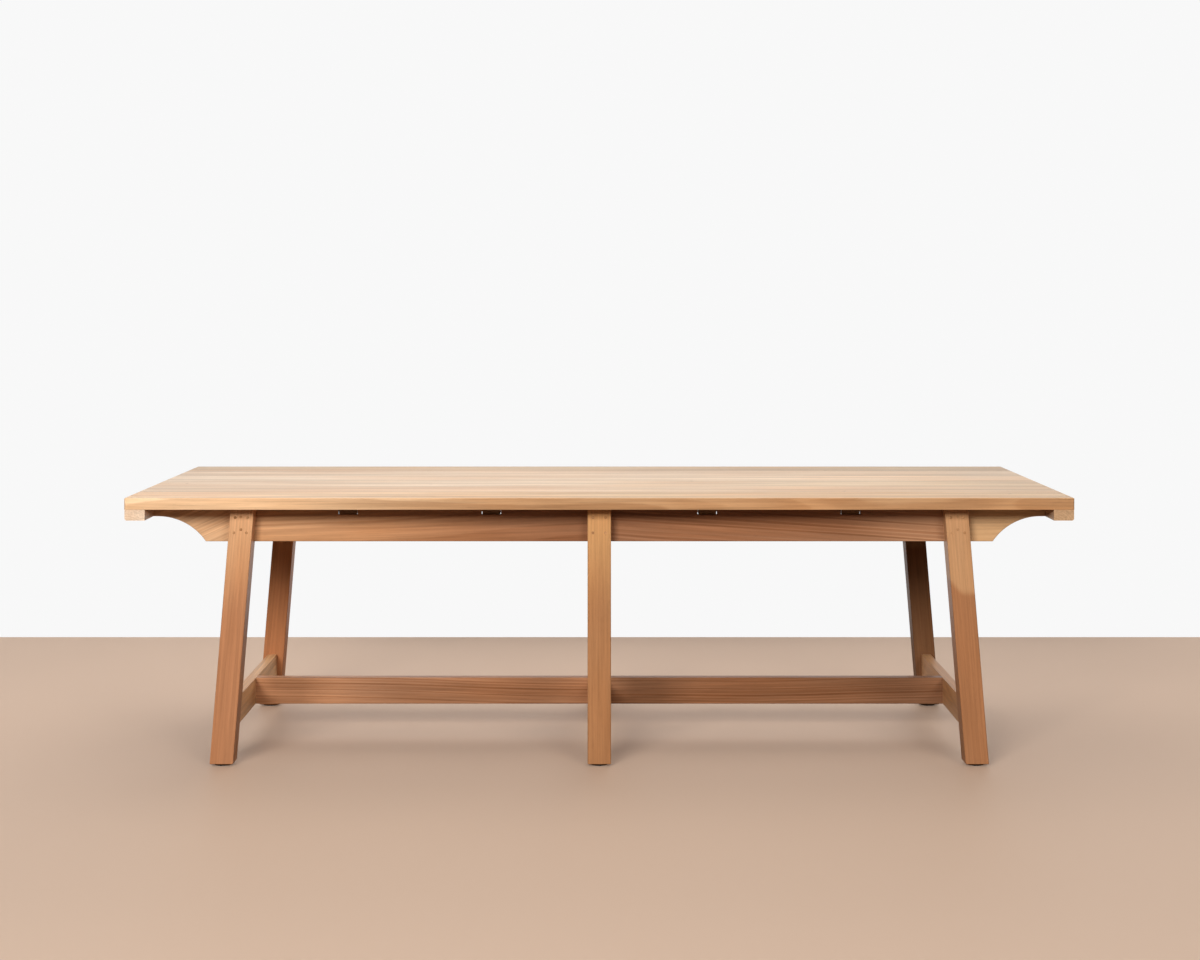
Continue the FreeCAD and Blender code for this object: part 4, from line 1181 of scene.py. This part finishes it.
# %% Put up the wall
WALL_PLACE = 1.65
WALL_WIDTH = 40
WALL_HEIGHT = 12
WHITE = (0.94, 0.94, 0.94)
WALL_PAINT = (0.85, 0.85, 0.85)
bpy.ops.mesh.primitive_plane_add(size=1, rotation=(math.radians(90), 0, 0),
                                 location=(0, WALL_PLACE, WALL_HEIGHT / 2))
wall = bpy.context.object
wall.name = "wall"
wall.scale = (WALL_WIDTH, WALL_HEIGHT, 1)
settle()
wall.visible_shadow = False
wall_finish, shader, ray = plain_material("wall_finish", roughness=0.8)
wall.data.materials.append(wall_finish)
tree = wall_finish.node_tree
feed(tree, shader.inputs["Base Color"], WALL_PAINT)
glow = tree.nodes.new("ShaderNodeEmission")
feed(tree, glow.inputs["Color"], WHITE)
seen = calculate(tree, "MAXIMUM", ray["Is Camera Ray"], ray["Is Glossy Ray"])
seen = calculate(tree, "MAXIMUM", seen, ray["Is Transmission Ray"])
finish_stage(tree, ray, choose(tree, seen, shader.outputs[0], glow.outputs[0]))
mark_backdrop(floor, wall)
print(f"wall {WALL_PLACE} m behind the table's middle")

# %% [markdown]
# ## Light
#
# Large soft lamps light the table, as in a studio: a strong one from the left front, a weaker one from
# the right front that opens the shadows, and weak ones from above and behind. Small lamps would give
# hard shadows, and an even sky hardly any. The lamps aren't seen, not even in reflections.

# %% Light the stage
LAMPS = {
    "key_light": ((-3.0, -8.6, 4.1), (0, 0, 0.6), (3.4, 2.5), 820),
    "fill_light": ((3.8, -8.6, 4.1), (0, 0, 0.6), (3.0, 2.5), 330),
    "top_light": ((-0.3, -0.1, 2.8), (-0.1, 0, 0), (3.2, 1.6), 32),
    "back_light": ((1.5, 7.5, 4.2), (0, 0, 0.5), (5.0, 3.0), 260),
}
for name, (place, aim, size, power) in LAMPS.items():
    data = bpy.data.lights.new(name, "AREA")
    data.shape = "RECTANGLE"
    data.size, data.size_y = size
    data.energy = power
    lamp = bpy.data.objects.new(name, data)
    bpy.context.scene.collection.objects.link(lamp)
    lamp.visible_camera = False
    lamp.visible_glossy = False
    lamp.location = place
    lamp.rotation_euler = (Vector(aim) - Vector(place)).to_track_quat("-Z", "Y").to_euler()
print(f"{len(LAMPS)} lamps")

# %% [markdown]
# The world is white to the camera, so every view has the same plain ground behind it. It lights the
# table only faintly, because much light from all sides would wash the shadows out.

# %% Light the world
WORLD_LIGHT = 0.03
world = bpy.data.worlds.new("studio")
bpy.context.scene.world = world
world.use_nodes = True
tree = world.node_tree
background = tree.nodes["Background"]
camera_ray = tree.nodes.new("ShaderNodeLightPath").outputs["Is Camera Ray"]
feed(tree, background.inputs["Color"], WHITE)
feed(tree, background.inputs["Strength"], calculate(tree, "MAXIMUM", camera_ray, WORLD_LIGHT))
bpy.context.scene.view_settings.view_transform = "Standard"
print(f"world lights the table at {WORLD_LIGHT:.0%}")

# %% [markdown]
# ## The last check
#
# The looks must not change the table's size, so the solids' box from the start is compared with the
# box of the finished table, and how far its corners moved is printed.

# %% Compare the two boxes and finish
seen_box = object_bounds()
moves = [(seen - cad).length for seen, cad in zip(seen_box, cad_box)]
print(f"the corners of the box moved by {max(moves) / MM:.3f} mm")
